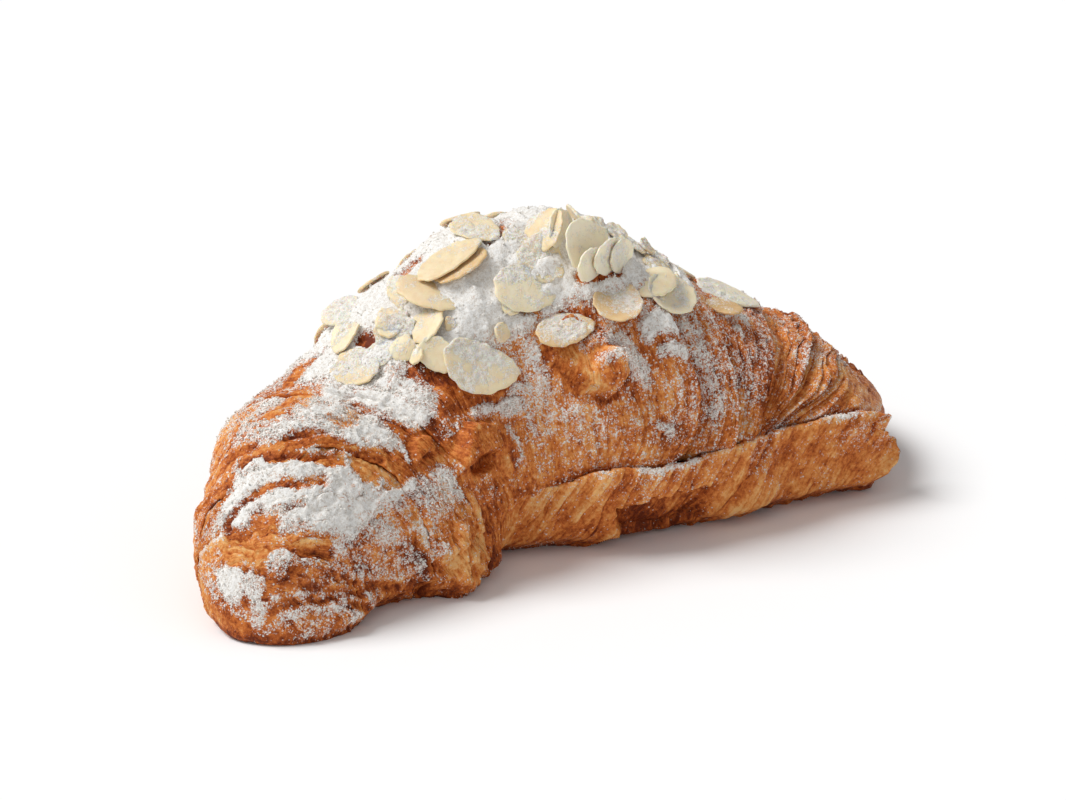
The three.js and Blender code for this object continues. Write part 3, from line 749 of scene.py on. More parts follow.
# Baked tone, 0 pale to 1 burnt
bake = {
    "plain": 0.34, "range": (0.02, 0.98), "patchSize": 9.0, "strokeSize": 3.0,
    # how much each part of the form counts; the hem, the sheets' notches and the foot of each right fold are
    # darkened as painted shade
    "parts": {"swollen": 0.14, "fresh": -0.05, "upper": 0.10, "foot": 0.34, "sheetEdge": 0.12, "hem": 0.30,
              "patch": 0.12, "creviceShade": 0.18, "foldEdge": 0.14, "foldFootShade": 0.24},
    "zones": [  # tone, angles, along
        (0.06, (-30, 16, 10), (-0.66, -0.30, 0.06)), (-0.07, (-5, 60, 10), (0.50, 1.1, 0.05)),
        (-0.10, (40, 150, 20), (-1.0, -0.64, 0.04)), (0.08, (-30, 34, 12), (-1.0, -0.62, 0.05)),
        (0.06, (-40, 40, 15), (-2, 2, 0.1)),
    ],
    # proud: places that stand out paler and sunk ones darker, painted highlight and shade; crease: painted
    # shade in the creases
    "proud": -0.16, "crease": 0.15, "skin": 0.53, "skinShare": 0.75, "pale": -0.34, "shade": 0.32,
}


def footPart(points):  # 1 near the base
    return 1 - smooth(points[..., 2], 0.8, 4.0)


def browning(rings, plain):
    # dark on swollen edges, on the ridge and at the base, pale where a layer comes out from the one before,
    # with painted shade under edges, in notches and at the foot of the right folds
    along, degrees, after, sheet = (rings[key] for key in ("along", "degrees", "after", "sheet"))
    rightFolds = smooth(along, 0.12, 0.2) * smooth(degrees, -5, 8)
    parts = {
        "swollen": smooth(rings["share"], 0.3, 0.95), "fresh": 1 - smooth(after, 0.5, 3.0),
        "upper": smooth(degrees, 15, 70) * (degrees < 150), "foot": footPart(plain),
        "sheetEdge": smooth(rings["saw"], 0.55, 0.95) * smooth(sheet, 0.1, 0.5),
        "hem": smooth(-rings["drop"], 0.4, 1.2), "patch": roughNoise(plain / bake["patchSize"], 71, 3),
        "creviceShade": smooth(-sheet, 0.1, 0.5), "foldEdge": rightFolds * (1 - smooth(rings["before"], 0.0, 2.5)),
        "foldFootShade": rightFolds * (1 - smooth(after, 0.0, 1.8)),
    }
    tone = bake["plain"] + blend(parts, bake["parts"])
    tone = tone + sum(amount * zonePart(along, degrees, *zone) for amount, *zone in bake["zones"])
    tone = tone + strokes(bakedStrokes, along, degrees, roughNoise(plain / bake["strokeSize"], 72, 2))
    return np.clip(tone, *bake["range"])


def columnDegrees(count):  # columns crowd where the roll faces up and forwards
    turn = np.linspace(-180, 180, count, endpoint=False)
    degrees = crumb["denseAngle"] + turn - np.degrees(crumb["crowding"] * np.sin(np.radians(turn)))
    return np.where(degrees < -90, degrees + 360, degrees)


def billow(values):  # rounded bumps with creases between them
    return np.abs(values) * 2 - 0.6


def crags(plain, across, aroundLength):
    # fibres drawn round the roll from coarse to fine, then blisters and crumbs
    size, bend = crumb["foldBend"]
    bend = bend * noise(plain / size, 79)
    relief = 0 * across
    for row, (wide, long, height) in enumerate(crumb["folds"]):
        relief = relief + height * billow(flatNoise(across / wide + bend, aroundLength / long, 81 + row, 2))
    size, height = crumb["blister"]
    relief = relief + height * billow(roughNoise(plain / size, 86, 2))
    size, height = crumb["crumbs"]
    return relief + height * roughNoise(plain / size, 93, 2)


def blur(values, reach):  # mean over a square of neighbours
    steps = range(-reach, reach + 1)
    values = sum(np.roll(values, k, axis=1) for k in steps) / len(steps)
    padded = np.pad(values, ((reach, reach), (0, 0)), mode="edge")
    return sum(padded[reach + k:reach + k + len(values)] for k in steps) / len(steps)


def proudness(height):  # how far each place stands out of its neighbours, limited
    above = (height - blur(height, crumb["proudReach"])) / crumb["proudHeight"]
    return np.clip(above, -crumb["proudMost"], crumb["proudMost"])


def layerShell(rings):
    # heights of one layer's rings: swelling to its edge, sheets, fibres, torn places, slit and heaped sugar
    along, degrees = rings["along"], rings["degrees"]
    waves = dough(along, degrees)
    plain = placeOnRoll(along, degrees, waves)
    fade, slit = smooth(along, *slitLine["opens"]), slitDegrees(along)
    under = smooth(slit - degrees, 0.0, crumb["slitSoft"]) * fade
    steps = 1 - (1 - crumb["stepBelow"]) * under
    height = waves + rings["step"] * np.clip(rings["share"], 0, 1) ** crumb["swell"] * steps + rings["drop"]
    aroundLength = degrees * crumb["perDegree"] * smooth(1 + along, 0.0, crumb["tipFade"])
    across = rings["order"] * crumb["lane"] + rings["across"]
    tornHeight, skin, pale, shade = tornRelief(along, degrees, plain)
    crease = strokes(creaseStrokes, along, degrees, roughNoise(plain / dusting["wanderSize"], 67, 2))
    cover = sugarCover(rings, plain)
    heap = smooth(cover, *dusting["heap"]) * (rings["drop"] == 0)
    cover = np.clip(cover - dusting["creaseBare"] * crease, *dusting["range"])
    relief = rings["sheet"] + crags(plain, across, aroundLength) * (1 - torn["calm"] * skin) - crease
    size, rugged = crumb["rugged"]
    rugged = rugged * zonePart(along, degrees, *crumb["ruggedZone"])
    relief = relief + rugged * billow(roughNoise(plain / size, 90, 3))
    height = height + relief * (1 - dusting["heapCalm"] * heap) + tornHeight - crumb["slabInset"] * under
    height = height - fade * crumb["grooveDepth"] * bump(degrees, slit, crumb["grooveDegrees"])
    proud = proudness(height)
    points = placeOnRoll(along, degrees, height + heap * sugarDepth(along, degrees, plain))
    # painted highlight on proud places, painted shade in hollows, creases, pits and round the nub
    tone = browning(rings, plain) + bake["proud"] * proud + bake["crease"] * crease
    tone = tone + (bake["skin"] - tone) * bake["skinShare"] * skin
    tone = np.clip(tone + bake["pale"] * pale + bake["shade"] * shade, *bake["range"])
    cover = np.clip(cover + dusting["proud"] * proud, 0.0, dusting["range"][1])
    return {"points": points, "tone": tone, "sugar": cover * (1 - dusting["skinBare"] * skin),
            "uv": np.stack([across, aroundLength], -1),
            "shown": (rings["drop"] == 0) & (rings["after"] > 0.5)}


def withPoles(values):  # rings as rows, then the means of the first and the last ring
    columns = values.shape[1]
    rows = values.reshape(len(values) * columns, -1)
    return np.concatenate([rows, rows[:columns].mean(0)[None], rows[-columns:].mean(0)[None]])


def buildLayers(name, shells, material):
    # closed tubes, one inside the next; the middles of their end rings close them
    faces, offset = [], 0
    for shell in shells:
        count, columns = shell["points"].shape[:2]
        faces.append(tubeFaces(count, columns, [offset]))
        offset += count * columns + 2
    faceSets = [np.concatenate(kind) for kind in zip(*faces)]
    points, tone, sugar, uv = (np.concatenate([withPoles(shell[key]) for shell in shells])
                               for key in ("points", "tone", "sugar", "uv"))
    makePiece(name, toFrame(points), faceSets, material, {"tone": tone, "sugar": sugar}, uv)


def buildPastry(material):
    # the innermost layers of both sides are one shell; rings on the left are turned to run left to right
    degrees = columnDegrees(crumb["columns"])
    left, right = ([layerRings(side, k, degrees) for k in range(len(layers[side]))] for side in layers)
    left = [{key: values[::-1] for key, values in rings.items()} for rings in left]
    middle = {key: np.concatenate([left[0][key], right[0][key]]) for key in left[0]}
    sets = {"pastryLeft": left[1:], "pastryMiddle": [middle], "pastryRight": right[1:]}
    for name, ringSets in sets.items():
        shells = [layerShell(rings) for rings in ringSets]
        skins.extend(shells)
        buildLayers(name, shells, material)


skins = []  # shells that loose sugar lies on
buildPastry(crustMaterial("crust", 1.0))


# Slab below the slit: its face runs up to a ragged lip that stands away from the roll; sizes in millimetres
slab = {
    "stations": 440, "from": -0.36, "to": 0.955, "lowest": -72, "faceRows": 110, "crowding": 1.3,
    "contrast": 0.55, "crest": 0.9, "lipDegrees": 8.0, "slant": 0.55, "grain": 0.6, "stand": (-0.34, 0.0),
    "ragged": ((19, 1.6), (5.0, 0.8), (1.6, 0.45)), "endMore": (1.6, 0.84, 0.97),  # wavelength, degrees
    # angle past the crest and drop of the rows behind it
    "hem": ((0.35, -0.35), (0.5, -0.8), (0.2, -1.5), (-3.0, -2.6), (-9.0, -4.2), (-40.0, -6.0),
            (-72.0, -5.0)),
    # how much each part of the form counts in the height, and further down in the tone and the sugar
    "heights": {"lip": 1.6, "sunk": -1.8, "bulge": 1.1, "pleat": 1.8, "bands": 0.6, "endBands": 0.4,
                "endLumps": 1.8, "endLip": 1.6, "pocket": -4.0, "crag": 0.55},
    "bulgeSize": 17.0, "lumpSize": 5.0, "bandSize": (5.0, 26.0), "ending": (0.86, 0.97),
    "pleat": {"wide": 5.5, "wander": 0.9, "wanderSize": (11.0, 30.0), "patch": 14.0, "least": 0.2,
              "power": 1.5},
    "pocket": {"from": 0.06, "to": 0.40, "closes": 0.30, "top": -9.5, "bottom": -27.0, "soft": 1.2,
               "curve": 0.05, "ragged": (4.0, 2.2), "startRagged": (3.0, 0.006), "startSoft": 0.010},
    # how far the blunt end reaches past the last station at these angles
    "endDegrees": (-60, -40, -25, -17, -11, -5, 3, 9), "endRagged": (5.0, 1.2), "endFrom": 0.84,
    "endReach": (-5.0, -4.0, -1.5, 1.5, 3.8, 2.2, 2.0, 3.4),
    "tone": 0.44, "toneSize": 8.0, "amber": ((0.22, 0.09), (-16, 6)),
    # tones: darker at each pleat's foot and falling edge, in the pocket, on the hem behind the crest and in
    # hollows, as painted shade; paler on each pleat's top and on proud places, as painted highlight
    "tones": {"patch": 0.14, "bands": -0.24, "hem": 0.3, "proud": -0.2, "crest": -0.20, "pleatShadow": 0.30,
              "pleatEdgeShade": 0.2, "pleatHighlight": -0.18, "pocket": 0.55, "amber": -0.5, "foot": 0.36},
    "sugar": 0.06, "sugarSize": 5.0, "lipSugar": (6.0, 0.25), "upperDegrees": (-10, 6, 6),
    "sugars": {"lip": 0.66, "upper": 0.14, "patch": 0.16, "proud": 0.1},
}


def slabGrid():  # along, angle, angle of the crest and drop behind it, by stations and rows of the profile
    along = slab["from"] + (slab["to"] - slab["from"]) * np.linspace(0, 1, slab["stations"])[:, None]
    crest = slab["crest"] + slitDegrees(along)
    more, start, full = slab["endMore"]
    uneven = 1 + more * smooth(along, start, full)
    for row, (wave, depth) in enumerate(slab["ragged"]):
        crest = crest + depth * uneven * flatNoise(along * half / wave, row, 91 + row, 1)
    share = np.linspace(0, 1, slab["faceRows"])
    face = slab["lowest"] + (crest - slab["lowest"]) * (1 - (1 - share) ** slab["crowding"])
    hemDegrees, hemDrop = np.array(slab["hem"]).T
    degrees = np.concatenate([face, np.maximum(crest + hemDegrees, slab["lowest"])], 1)
    return along + 0 * degrees, degrees, crest, np.concatenate([0 * face, hemDrop + 0 * crest], 1)


def slabPleats(across, aroundLength):  # share of the way over each pleat, and how strong the pleat is there
    pleat = slab["pleat"]
    wide, long = pleat["wanderSize"]
    count = across / pleat["wide"] + pleat["wander"] * flatNoise(across / wide, aroundLength / long, 104, 2)
    patch = smooth(flatNoise(np.floor(count) * 0.37, aroundLength / pleat["patch"], 105, 2), -0.2, 0.4)
    return count - np.floor(count), pleat["least"] + (1 - pleat["least"]) * patch


def slabPocket(along, degrees):  # 1 in the torn hollow under the lip, with ragged sides
    pocket = slab["pocket"]
    wave, depth = pocket["ragged"]
    ragged = depth * flatNoise(along * half / wave, 0, 97, 2)
    inside = window(degrees + ragged, pocket["bottom"], pocket["top"], pocket["soft"])
    down = np.clip((pocket["top"] - degrees) / (pocket["top"] - pocket["bottom"]), 0, 1)
    wave, depth = pocket["startRagged"]
    start = pocket["from"] + pocket["curve"] * down ** 2 + depth * flatNoise(degrees / wave, 0, 103, 2)
    opened = smooth(along, start - pocket["startSoft"], start + pocket["startSoft"])
    return inside * opened * (1 - smooth(along, pocket["closes"], pocket["to"]))


def buildSlab(material):
    # profile up the face to the crest, over it and down behind, drawn along the roll and closed by poles
    along, degrees, crest, drop = slabGrid()
    waves = dough(along, degrees)
    plain = placeOnRoll(along, degrees, waves)
    aroundLength = degrees * crumb["perDegree"]
    across = along * half - slab["slant"] * aroundLength
    stand, ending = smooth(along, *slab["stand"]), smooth(along, *slab["ending"])
    wide, long = slab["bandSize"]
    bands = flatNoise(across / wide, aroundLength / long, 94, 3)
    fold, strong = slabPleats(across, aroundLength)
    pocket, crag = slabPocket(along, degrees), crags(plain, across, aroundLength)
    lip, proud = bump(degrees, crest, slab["lipDegrees"]), proudness(crag)
    heights = {
        "lip": lip * stand, "sunk": 1 - stand, "bulge": roughNoise(plain / slab["bulgeSize"], 90, 2),
        "pleat": strong * fold ** slab["pleat"]["power"] * (1 - smooth(fold, 0.88, 1.0)), "bands": bands,
        "endBands": ending * bands, "endLumps": ending * roughNoise(plain / slab["lumpSize"], 95, 3),
        "endLip": ending * lip, "pocket": pocket, "crag": crag * (1 - pocket),
    }
    points = placeOnRoll(along, degrees, waves + drop + blend(heights, slab["heights"]))
    wave, depth = slab["endRagged"]
    reach = np.interp(degrees, slab["endDegrees"], slab["endReach"])
    reach = reach + depth * flatNoise(degrees / wave, 0, 100, 2)
    points[..., 0] += reach * smooth(along, slab["endFrom"], slab["to"])
    amberAlong, amberDegrees = slab["amber"]
    # painted shade at the pleats' feet and falling edges, in the pocket, behind the crest and in hollows;
    # painted highlight on the pleats' tops and proud places
    tones = {
        "patch": roughNoise(plain / slab["toneSize"], 98, 3), "bands": bands, "hem": smooth(-drop, 0.5, 1.4),
        "proud": proud, "crest": bump(degrees, crest, 2.0),
        "pleatShadow": strong * (1 - smooth(fold, 0.0, 0.2)),
        "pleatEdgeShade": strong * smooth(fold, 0.93, 1.0), "pleatHighlight": strong * bump(fold, 0.78, 0.15),
        "pocket": pocket, "amber": pocket * bump(along, *amberAlong) * bump(degrees, *amberDegrees),
        "foot": footPart(points),
    }
    wave, least = slab["lipSugar"]
    patches = least + (1 - least) * smooth(flatNoise(along * half / wave, 0, 96, 2), -0.2, 0.4)
    sugars = {
        "lip": patches * bump(degrees, crest + 0.3, 1.8) * stand, "proud": proud,
        "upper": window(degrees, *slab["upperDegrees"]) * stand,
        "patch": roughNoise(plain / slab["sugarSize"], 99, 3),
    }
    cover = (slab["sugar"] + blend(sugars, slab["sugars"])) * (1 - pocket) * (1 - smooth(-drop, 0.9, 1.6))
    tone = np.clip(slab["tone"] + blend(tones, slab["tones"]), *bake["range"])
    shell = {"points": points, "tone": tone, "sugar": np.clip(cover, 0, 1), "shown": drop > -0.9,
             "uv": slab["grain"] * np.stack([across, aroundLength], -1)}
    skins.append(shell)
    buildLayers("slab", [shell], material)


buildSlab(crustMaterial("slabCrust", slab["contrast"]))


# Almond flakes: along, angle, turn of the long axis, tilt about it, pitch of it, length, width, lift, dust
flakes = {
    "placed": [
        (-0.135, 88.5, -81, -7, -4, 13.5, 9.5, 0.5, 0.90),
        (-0.245, 83.5, -4, -11, -2, 16.0, 9.5, 1.3, 0.50), (-0.23, 80.5, 16, -24, -8, 14.0, 9.4, 0.5, 0.20),
        (-0.33, 80.5, -79, -32, -10, 16.5, 9.0, 1.2, 0.40),
        (-0.375, 75, 54, -10, -19, 10.5, 8.0, 1.2, 0.35), (-0.427, 80, -76, 17, -11, 12.0, 9.0, 0.3, 0.85),
        (-0.525, 88.5, 89, 1, -4, 13.0, 10.0, 0.6, 0.80), (-0.42, 106, -88, -4, -21, 13.5, 9.0, 0.3, 0.95),
        (-0.40, 65, -86, 16, -12, 9.2, 7.0, 1.4, 0.15), (-0.308, 55.2, -36, -7, -2, 17.0, 12.0, 1.2, 1.00),
        (-0.103, 67.3, -34, -4, -9, 14.0, 11.4, 0.7, 0.80), (-0.03, 72, -88, 3, -9, 12.7, 10.0, 0.4, 0.90),
        (-0.205, 60.5, 14, 22, -25, 5.8, 4.0, 1.0, 0.35), (-0.03, 54, -13, -29, -4, 13.2, 8.8, 1.0, 0.90),
        (0.011, 78.6, 89, -42, -12, 11.0, 10.4, 2.6, 0.55),
        (0.052, 77.0, 20, 56, -24, 10.4, 8.4, 2.4, 0.35), (0.083, 71.4, 21, 45, -5, 14.2, 10.4, 3.2, 0.20),
        (0.085, 66, 18, 50, -25, 10.7, 8.0, 2.6, 0.40), (0.137, 67.1, 14, 52, -22, 11.0, 8.8, 2.8, 0.35),
        (0.182, 67.6, 11, 56, -22, 10.0, 8.0, 2.6, 0.40), (0.274, 62.5, 37, -35, 10, 13.0, 9.4, 2.6, 0.10),
        (0.132, 56.1, 54, -22, -22, 13.2, 11.2, 1.2, 0.85), (0.312, 57.4, 7, 1, 6, 13.8, 10.4, 1.8, 0.80),
        (0.600, 80.0, -8, 12, 12, 18.0, 9.4, 1.5, 1.0), (0.527, 60.0, 88, -25, -18, 11.0, 7.0, 0.9, 0.50),
        (0.144, 81.7, 55, -45, 7, 7.0, 4.6, 1.6, 0.60), (0.30, 80.5, 52, -3, -5, 9.0, 7.0, 1.0, 0.85),
        (0.35, 73, 46, 0, -2, 9.0, 7.0, 1.0, 0.80), (-0.434, 71, 65, -34, -28, 6.3, 4.3, 1.0, 0.30),
        (0.207, 82, 20, 24, 8, 8.0, 6.0, 1.6, 0.75), (0.25, 81, -40, 18, -6, 7.0, 5.0, 1.6, 0.80),
        (0.294, 84, 60, 8, 12, 8.5, 6.0, 1.0, 0.85), (0.34, 79.5, 10, 16, -14, 6.5, 4.6, 1.6, 0.80),
        (0.372, 75, -20, 20, 6, 6.0, 4.4, 1.2, 0.75), (0.41, 69, 40, 10, 0, 5.0, 3.6, 0.9, 0.80),
        (0.12, 81.5, 80, 40, -10, 9.0, 6.4, 2.2, 0.50), (-0.05, 81, 15, 8, 4, 8.0, 6.0, 0.4, 0.95),
        (-0.36, 90, 70, -6, 8, 9.0, 6.6, 0.3, 0.80), (-0.41, 86, 20, 6, -6, 10.0, 7.4, 0.5, 0.60),
        (-0.47, 82, -30, -10, 4, 9.0, 7.0, 0.4, 0.70), (-0.325, 69, 40, 14, 10, 6.0, 4.4, 0.5, 0.75),
        (-0.435, 75, -10, 10, -8, 8.0, 6.0, 0.8, 0.40), (-0.16, 66, 70, 5, -5, 6.0, 4.0, 0.3, 0.90),
    ],
    "cupped": {22: 1.7, 20: -0.9, 16: 0.7, 21: 0.6, 9: 0.5, 8: 0.5, 3: -0.7},  # row, rise of its rim
    "broken": {  # row and share of the half length where it is broken off
        4: 0.55, 5: 0.45, 6: 0.75, 12: 0.4, 24: 0.6, 26: 0.4, 27: 0.5, 28: 0.3, 29: 0.3, 30: 0.5, 31: 0.2,
        33: 0.4, 36: 0.3, 38: 0.4, 40: 0.35, 41: 0.5, 43: 0.3, 2: 0.8, 7: 0.7, 11: 0.8,
    },
    # the tints of rows 16 to 19 are partly painted light, paler as if those flakes caught the lamp, and row
    # 24's is partly painted shade
    "tintsAndShade": {  # row and colour
        16: 0.0, 17: 0.0, 18: 0.05, 19: 0.05, 15: 0.1, 22: 0.2, 23: 0.1, 20: 0.3, 10: 0.25, 12: 0.4,
        9: 0.35, 2: 0.7, 3: 0.45, 13: 0.7, 21: 0.7, 24: 0.9, 8: 0.3, 4: 0.4, 1: 0.45, 6: 0.5, 14: 0.45,
    },
    "otherTints": (0.25, 0.55), "seed": 7,
    "backCount": 14, "backAlong": (-0.5, 0.55), "backAround": (100, 142), "backTilt": 12,
    "backLength": (10.5, 13.5), "backWidth": 0.7, "backLift": 1.0, "backDust": (0.4, 0.8),
    "columns": 60, "topRings": (0.08, 0.9, 12), "bottomRings": (0.85, 0.2, 3),  # first, last, number
    # share of the radius and of the thickness round the rim
    "rim": ((0.95, 0.44), (0.985, 0.33), (1.0, 0.15), (1.0, -0.15), (0.985, -0.33), (0.95, -0.44)),
    "thickness": 0.68, "taper": 0.14, "point": 0.12, "wave": 0.075, "chipped": 0.018, "crackLean": 0.10,
    "crackWave": 0.05, "droop": 0.25, "twist": 0.4, "curl": 0.5, "ground": 1.2,
    "neighbours": (0.02, 4),  # steps along and round the roll that give a flake its bed
    "dust": {"row": 0.9, "left": 0.25, "patch": 0.60, "rim": -0.25, "uphill": 0.40}, "leastDust": -0.06,
    "mostDust": 1.1, "patchSize": 3.5, "dustHeight": 0.34, "dustGrain": 1.1, "looseShare": 0.3,
}
almondLook = {
    "nut": [(0.0, (0.95, 0.86, 0.68)), (0.35, (0.86, 0.71, 0.47)), (0.65, (0.75, 0.54, 0.29)),
            (1.0, (0.60, 0.37, 0.15))],
    "fleck": (0.9, 3.0, 0.7), "clump": (2.2, 3.0, 0.6),  # size in millimetres, detail, roughness of the noise
    # fine: how strongly the painted shade between the sugar grains shows on the flakes
    "clumpTint": 0.6, "clumpCover": 1.5, "white": 0.80, "fine": 1.3, "fleckRelief": 0.35, "whiteRelief": 0.3,
    "heapRelief": 0.30, "fineRelief": 0.03, "roughness": 0.5, "sugarRoughness": 0.9, "bump": (0.7, 0.45),
    "glow": {"Subsurface Weight": 0.45, "Subsurface Radius": (0.003, 0.002, 0.001), "Subsurface Scale": 0.4},
}
goldenShare = (math.sqrt(5) - 1) / 2


def flakeRows():  # those listed, then a spread over the back
    step = np.arange(flakes["backCount"])
    share = (step * goldenShare) % 1
    along = np.interp((step + 0.5) / flakes["backCount"], [0, 1], flakes["backAlong"])
    spread = ("backAround", "backLength", "backDust")
    around, length, dust = (np.interp(share, [0, 1], flakes[key]) for key in spread)
    back = [along, around, 180 * share, flakes["backTilt"] * share, 0 * share, length,
            flakes["backWidth"] * length, flakes["backLift"] + 0 * share, dust]
    return np.concatenate([np.array(flakes["placed"], dtype=float), np.stack(back, -1)])


def flakeProfile():  # share of radius and of thickness, from the top middle over the rim to the bottom middle
    top, bottom = np.linspace(*flakes["topRings"]), np.linspace(*flakes["bottomRings"])
    rimRadius, rimLevel = np.array(flakes["rim"]).T
    level = np.concatenate([0 * top + 0.5, rimLevel, 0 * bottom - 0.5])
    return np.concatenate([top, rimRadius, bottom]), level


def unit(vectors):  # length 1
    return vectors / np.linalg.norm(vectors, axis=-1, keepdims=True)


def onGround(along, degrees):  # place on the roll, raised to the sheets' mean height
    return placeOnRoll(along, degrees, dough(along, degrees) + flakes["ground"])


def surfaceFrame(along, degrees):
    # point and square directions on the roll, from neighbours on either side
    apart, turn = flakes["neighbours"]
    alongWay = onGround(along + apart, degrees) - onGround(along - apart, degrees)
    aroundWay = onGround(along, degrees + turn) - onGround(along, degrees - turn)
    outward = unit(np.cross(alongWay, aroundWay))
    alongWay = unit(alongWay)
    return onGround(along, degrees), alongWay, np.cross(outward, alongWay), outward


def almondMaterial():
    # a tint picks the colour of the nut, for some flakes with painted light and shade in it; dust covers it
    # like the crust's sugar
    look, sheet = almondLook, Sheet("almond")
    place = sheet.place()
    fleck, clump = (sheet.speckle(place, *look[key]) for key in ("fleck", "clump"))
    tint = sheet.attribute("tint") + clump * look["clumpTint"]
    nut = sheet.add("ShaderNodeValToRGB", {"stops": look["nut"]}, {"Fac": tint})
    white, _, fine = frost(sheet, place, sheet.attribute("dust") + clump * look["clumpCover"])
    colour = sheet.mix(white * look["white"], nut, sugarColourAndShade(sheet, fine * look["fine"]))
    roughness = white * (look["sugarRoughness"] - look["roughness"]) + look["roughness"]
    relief = fleck * look["fleckRelief"] + white * look["whiteRelief"]
    relief = relief + fine * (white * look["heapRelief"] + look["fineRelief"])
    return sheet.finish({"Base Color": colour, "Roughness": roughness, **look["glow"],
                         "Normal": sheet.bumped(relief, *look["bump"])})


def setRows(values, table):  # the values, with those of the table's rows put in
    values[list(table)] = list(table.values())
    return values


def turnedPair(first, second, angle):  # two square directions, turned in their plane
    cos, sin = np.cos(angle)[:, None], np.sin(angle)[:, None]
    return first * cos + second * sin, second * cos - first * sin


def flakeShapes(length, wide, draws, radius, level):
    # ovals with a pointed end, waved and chipped by the draws, some broken across, then cupped or drooping
    count = len(length)
    draw = draws.T.reshape(-1, count, 1, 1)
    around = np.linspace(0, 2 * np.pi, flakes["columns"], endpoint=False)
    cos, sin = np.cos(around), np.sin(around)
    wave = draw[0] * np.cos(2 * around + 3 * draw[1]) + draw[2] * np.cos(3 * around + 3 * draw[3])
    chips = np.cos(9 * around + 6 * draw[4]) + np.cos(14 * around + 6 * draw[5])
    reach = radius[:, None] * (1 + flakes["wave"] * wave + flakes["chipped"] * chips)
    narrow = (1 - flakes["taper"] * cos) * (1 - flakes["point"] * np.maximum(cos, 0) ** 4)
    x, y = reach * cos, reach * sin * narrow
    cup = setRows(np.zeros(count), flakes["cupped"]).reshape(-1, 1, 1)
    broken = setRows(np.full(count, 2.0), flakes["broken"]).reshape(-1, 1, 1)
    crack = flakes["crackLean"] * draw[7] * y + flakes["crackWave"] * np.sin(9 * y + 6 * draw[1])
    x = np.minimum(x, broken + crack)
    sag = (flakes["droop"] * (0.4 + draw[4]) - cup) * (x * x + y * y)
    sag = sag + flakes["twist"] * draw[5] * x * y + flakes["curl"] * draw[6] * y * y
    halfLong, halfWide = length.reshape(-1, 1, 1) / 2, wide.reshape(-1, 1, 1) / 2
    return np.stack([x * halfLong, y * halfWide, flakes["thickness"] * level[:, None] - sag], -1)


def buildFlakes(material):
    # thin plates turned and tilted on the skin, ring by ring over the rim, with dust on their upper faces
    rows = flakeRows()
    count, columns = len(rows), flakes["columns"]
    rng = np.random.default_rng(flakes["seed"])
    along, degrees, turn, tilt, pitch, length, wide, lift, dusty = rows.T
    radius, level = flakeProfile()
    local = flakeShapes(length, wide, rng.uniform(-1, 1, (count, 8)), radius, level)
    foot, alongWay, across, outward = surfaceFrame(along, degrees)
    longWay, wideWay = turnedPair(alongWay, across, np.radians(turn))
    longWay, faceWay = turnedPair(longWay, outward, np.radians(pitch))
    wideWay, faceWay = turnedPair(wideWay, faceWay, np.radians(tilt))
    middle = (foot + outward * lift[:, None])[:, None]
    grid = np.einsum("nrci,nij->nrcj", local, np.stack([longWay, wideWay, faceWay], 1)) + middle[:, None]
    poles = np.stack([faceWay, -faceWay], 1) * flakes["thickness"] / 2 + middle
    vertices = np.concatenate([grid.reshape(count, -1, 3), poles], 1)
    faces = tubeFaces(len(radius), columns, np.arange(count) * vertices.shape[1])
    tint = setRows(rng.uniform(*flakes["otherTints"], count), flakes["tintsAndShade"])
    parts = {
        "row": dusty[:, None], "left": smooth(-along, 0.30, 0.45)[:, None],
        "patch": roughNoise(vertices / flakes["patchSize"], 111, 2),
        "rim": np.concatenate([np.repeat(smooth(radius, 0.50, 1.0), columns), [0, 0]]),
        "uphill": (vertices - middle)[..., 2] / length[:, None] * 2,
    }
    dust = flakes["leastDust"] + blend(parts, flakes["dust"])
    heap = flakes["dustHeight"] * smooth(dust, 0.2, 0.9) * roughNoise(vertices / flakes["dustGrain"], 112, 2)
    upper = level > 0.3
    heap = heap * np.concatenate([np.repeat(upper, columns), [0, 0]])
    loose = flakes["looseShare"] * dust[:, :-2].reshape(grid.shape[:3])
    shown = np.repeat(upper[:, None], columns, axis=1)
    skins.extend({"points": grid[k], "sugar": loose[k], "shown": shown} for k in range(count))
    attributes = {"tint": np.repeat(tint, vertices.shape[1]), "dust": np.clip(dust, 0, flakes["mostDust"])}
    vertices = vertices + heap[..., None] * faceWay[:, None]
    makePiece("almondFlakes", toFrame(vertices), faces, material, attributes)


buildFlakes(almondMaterial())


# Loose sugar: radius and jitter in millimetres, cover where the first lie and where they lie thickest
looseSugar = {
    "sugarGrains": {"count": 24000, "radius": (0.07, 0.18), "cover": (0.08, 0.7), "jitter": 0.15, "seed": 21},
    "sugarLumps": {"count": 9500, "radius": (0.14, 0.32), "cover": (0.40, 0.95), "jitter": 0.2, "seed": 22},
}
looseLook = {
    "shade": (0.80, 0.76, 0.69, 1), "white": (0.97, 0.95, 0.91, 1),
    "fine": (0.3, 3.0, 0.7), "bump": (0.8, 0.3),  # noise: size, detail, roughness; bump: strength, distance
    "roughness": 0.9, "shine": 0.2, "heapedLess": 0.92, "heaped": (0.8, 1.05), "smallMore": 1.5,
    "uneven": (0.7, 1.2), "lift": 0.2,
}


def sugarMaterial():
    # fine noise mixes the two colours and roughens the faces
    look, sheet = looseLook, Sheet("looseSugar")
    size, detail, noiseRoughness = look["fine"]
    fine = sheet.grain(sheet.place(), 1 / (size * mm), detail, noiseRoughness)
    colour = sheet.mix(fine, look["shade"], look["white"])
    return sheet.finish({"Base Color": colour, "Roughness": look["roughness"],
                         "Specular IOR Level": look["shine"], "Normal": sheet.bumped(fine, *look["bump"])})


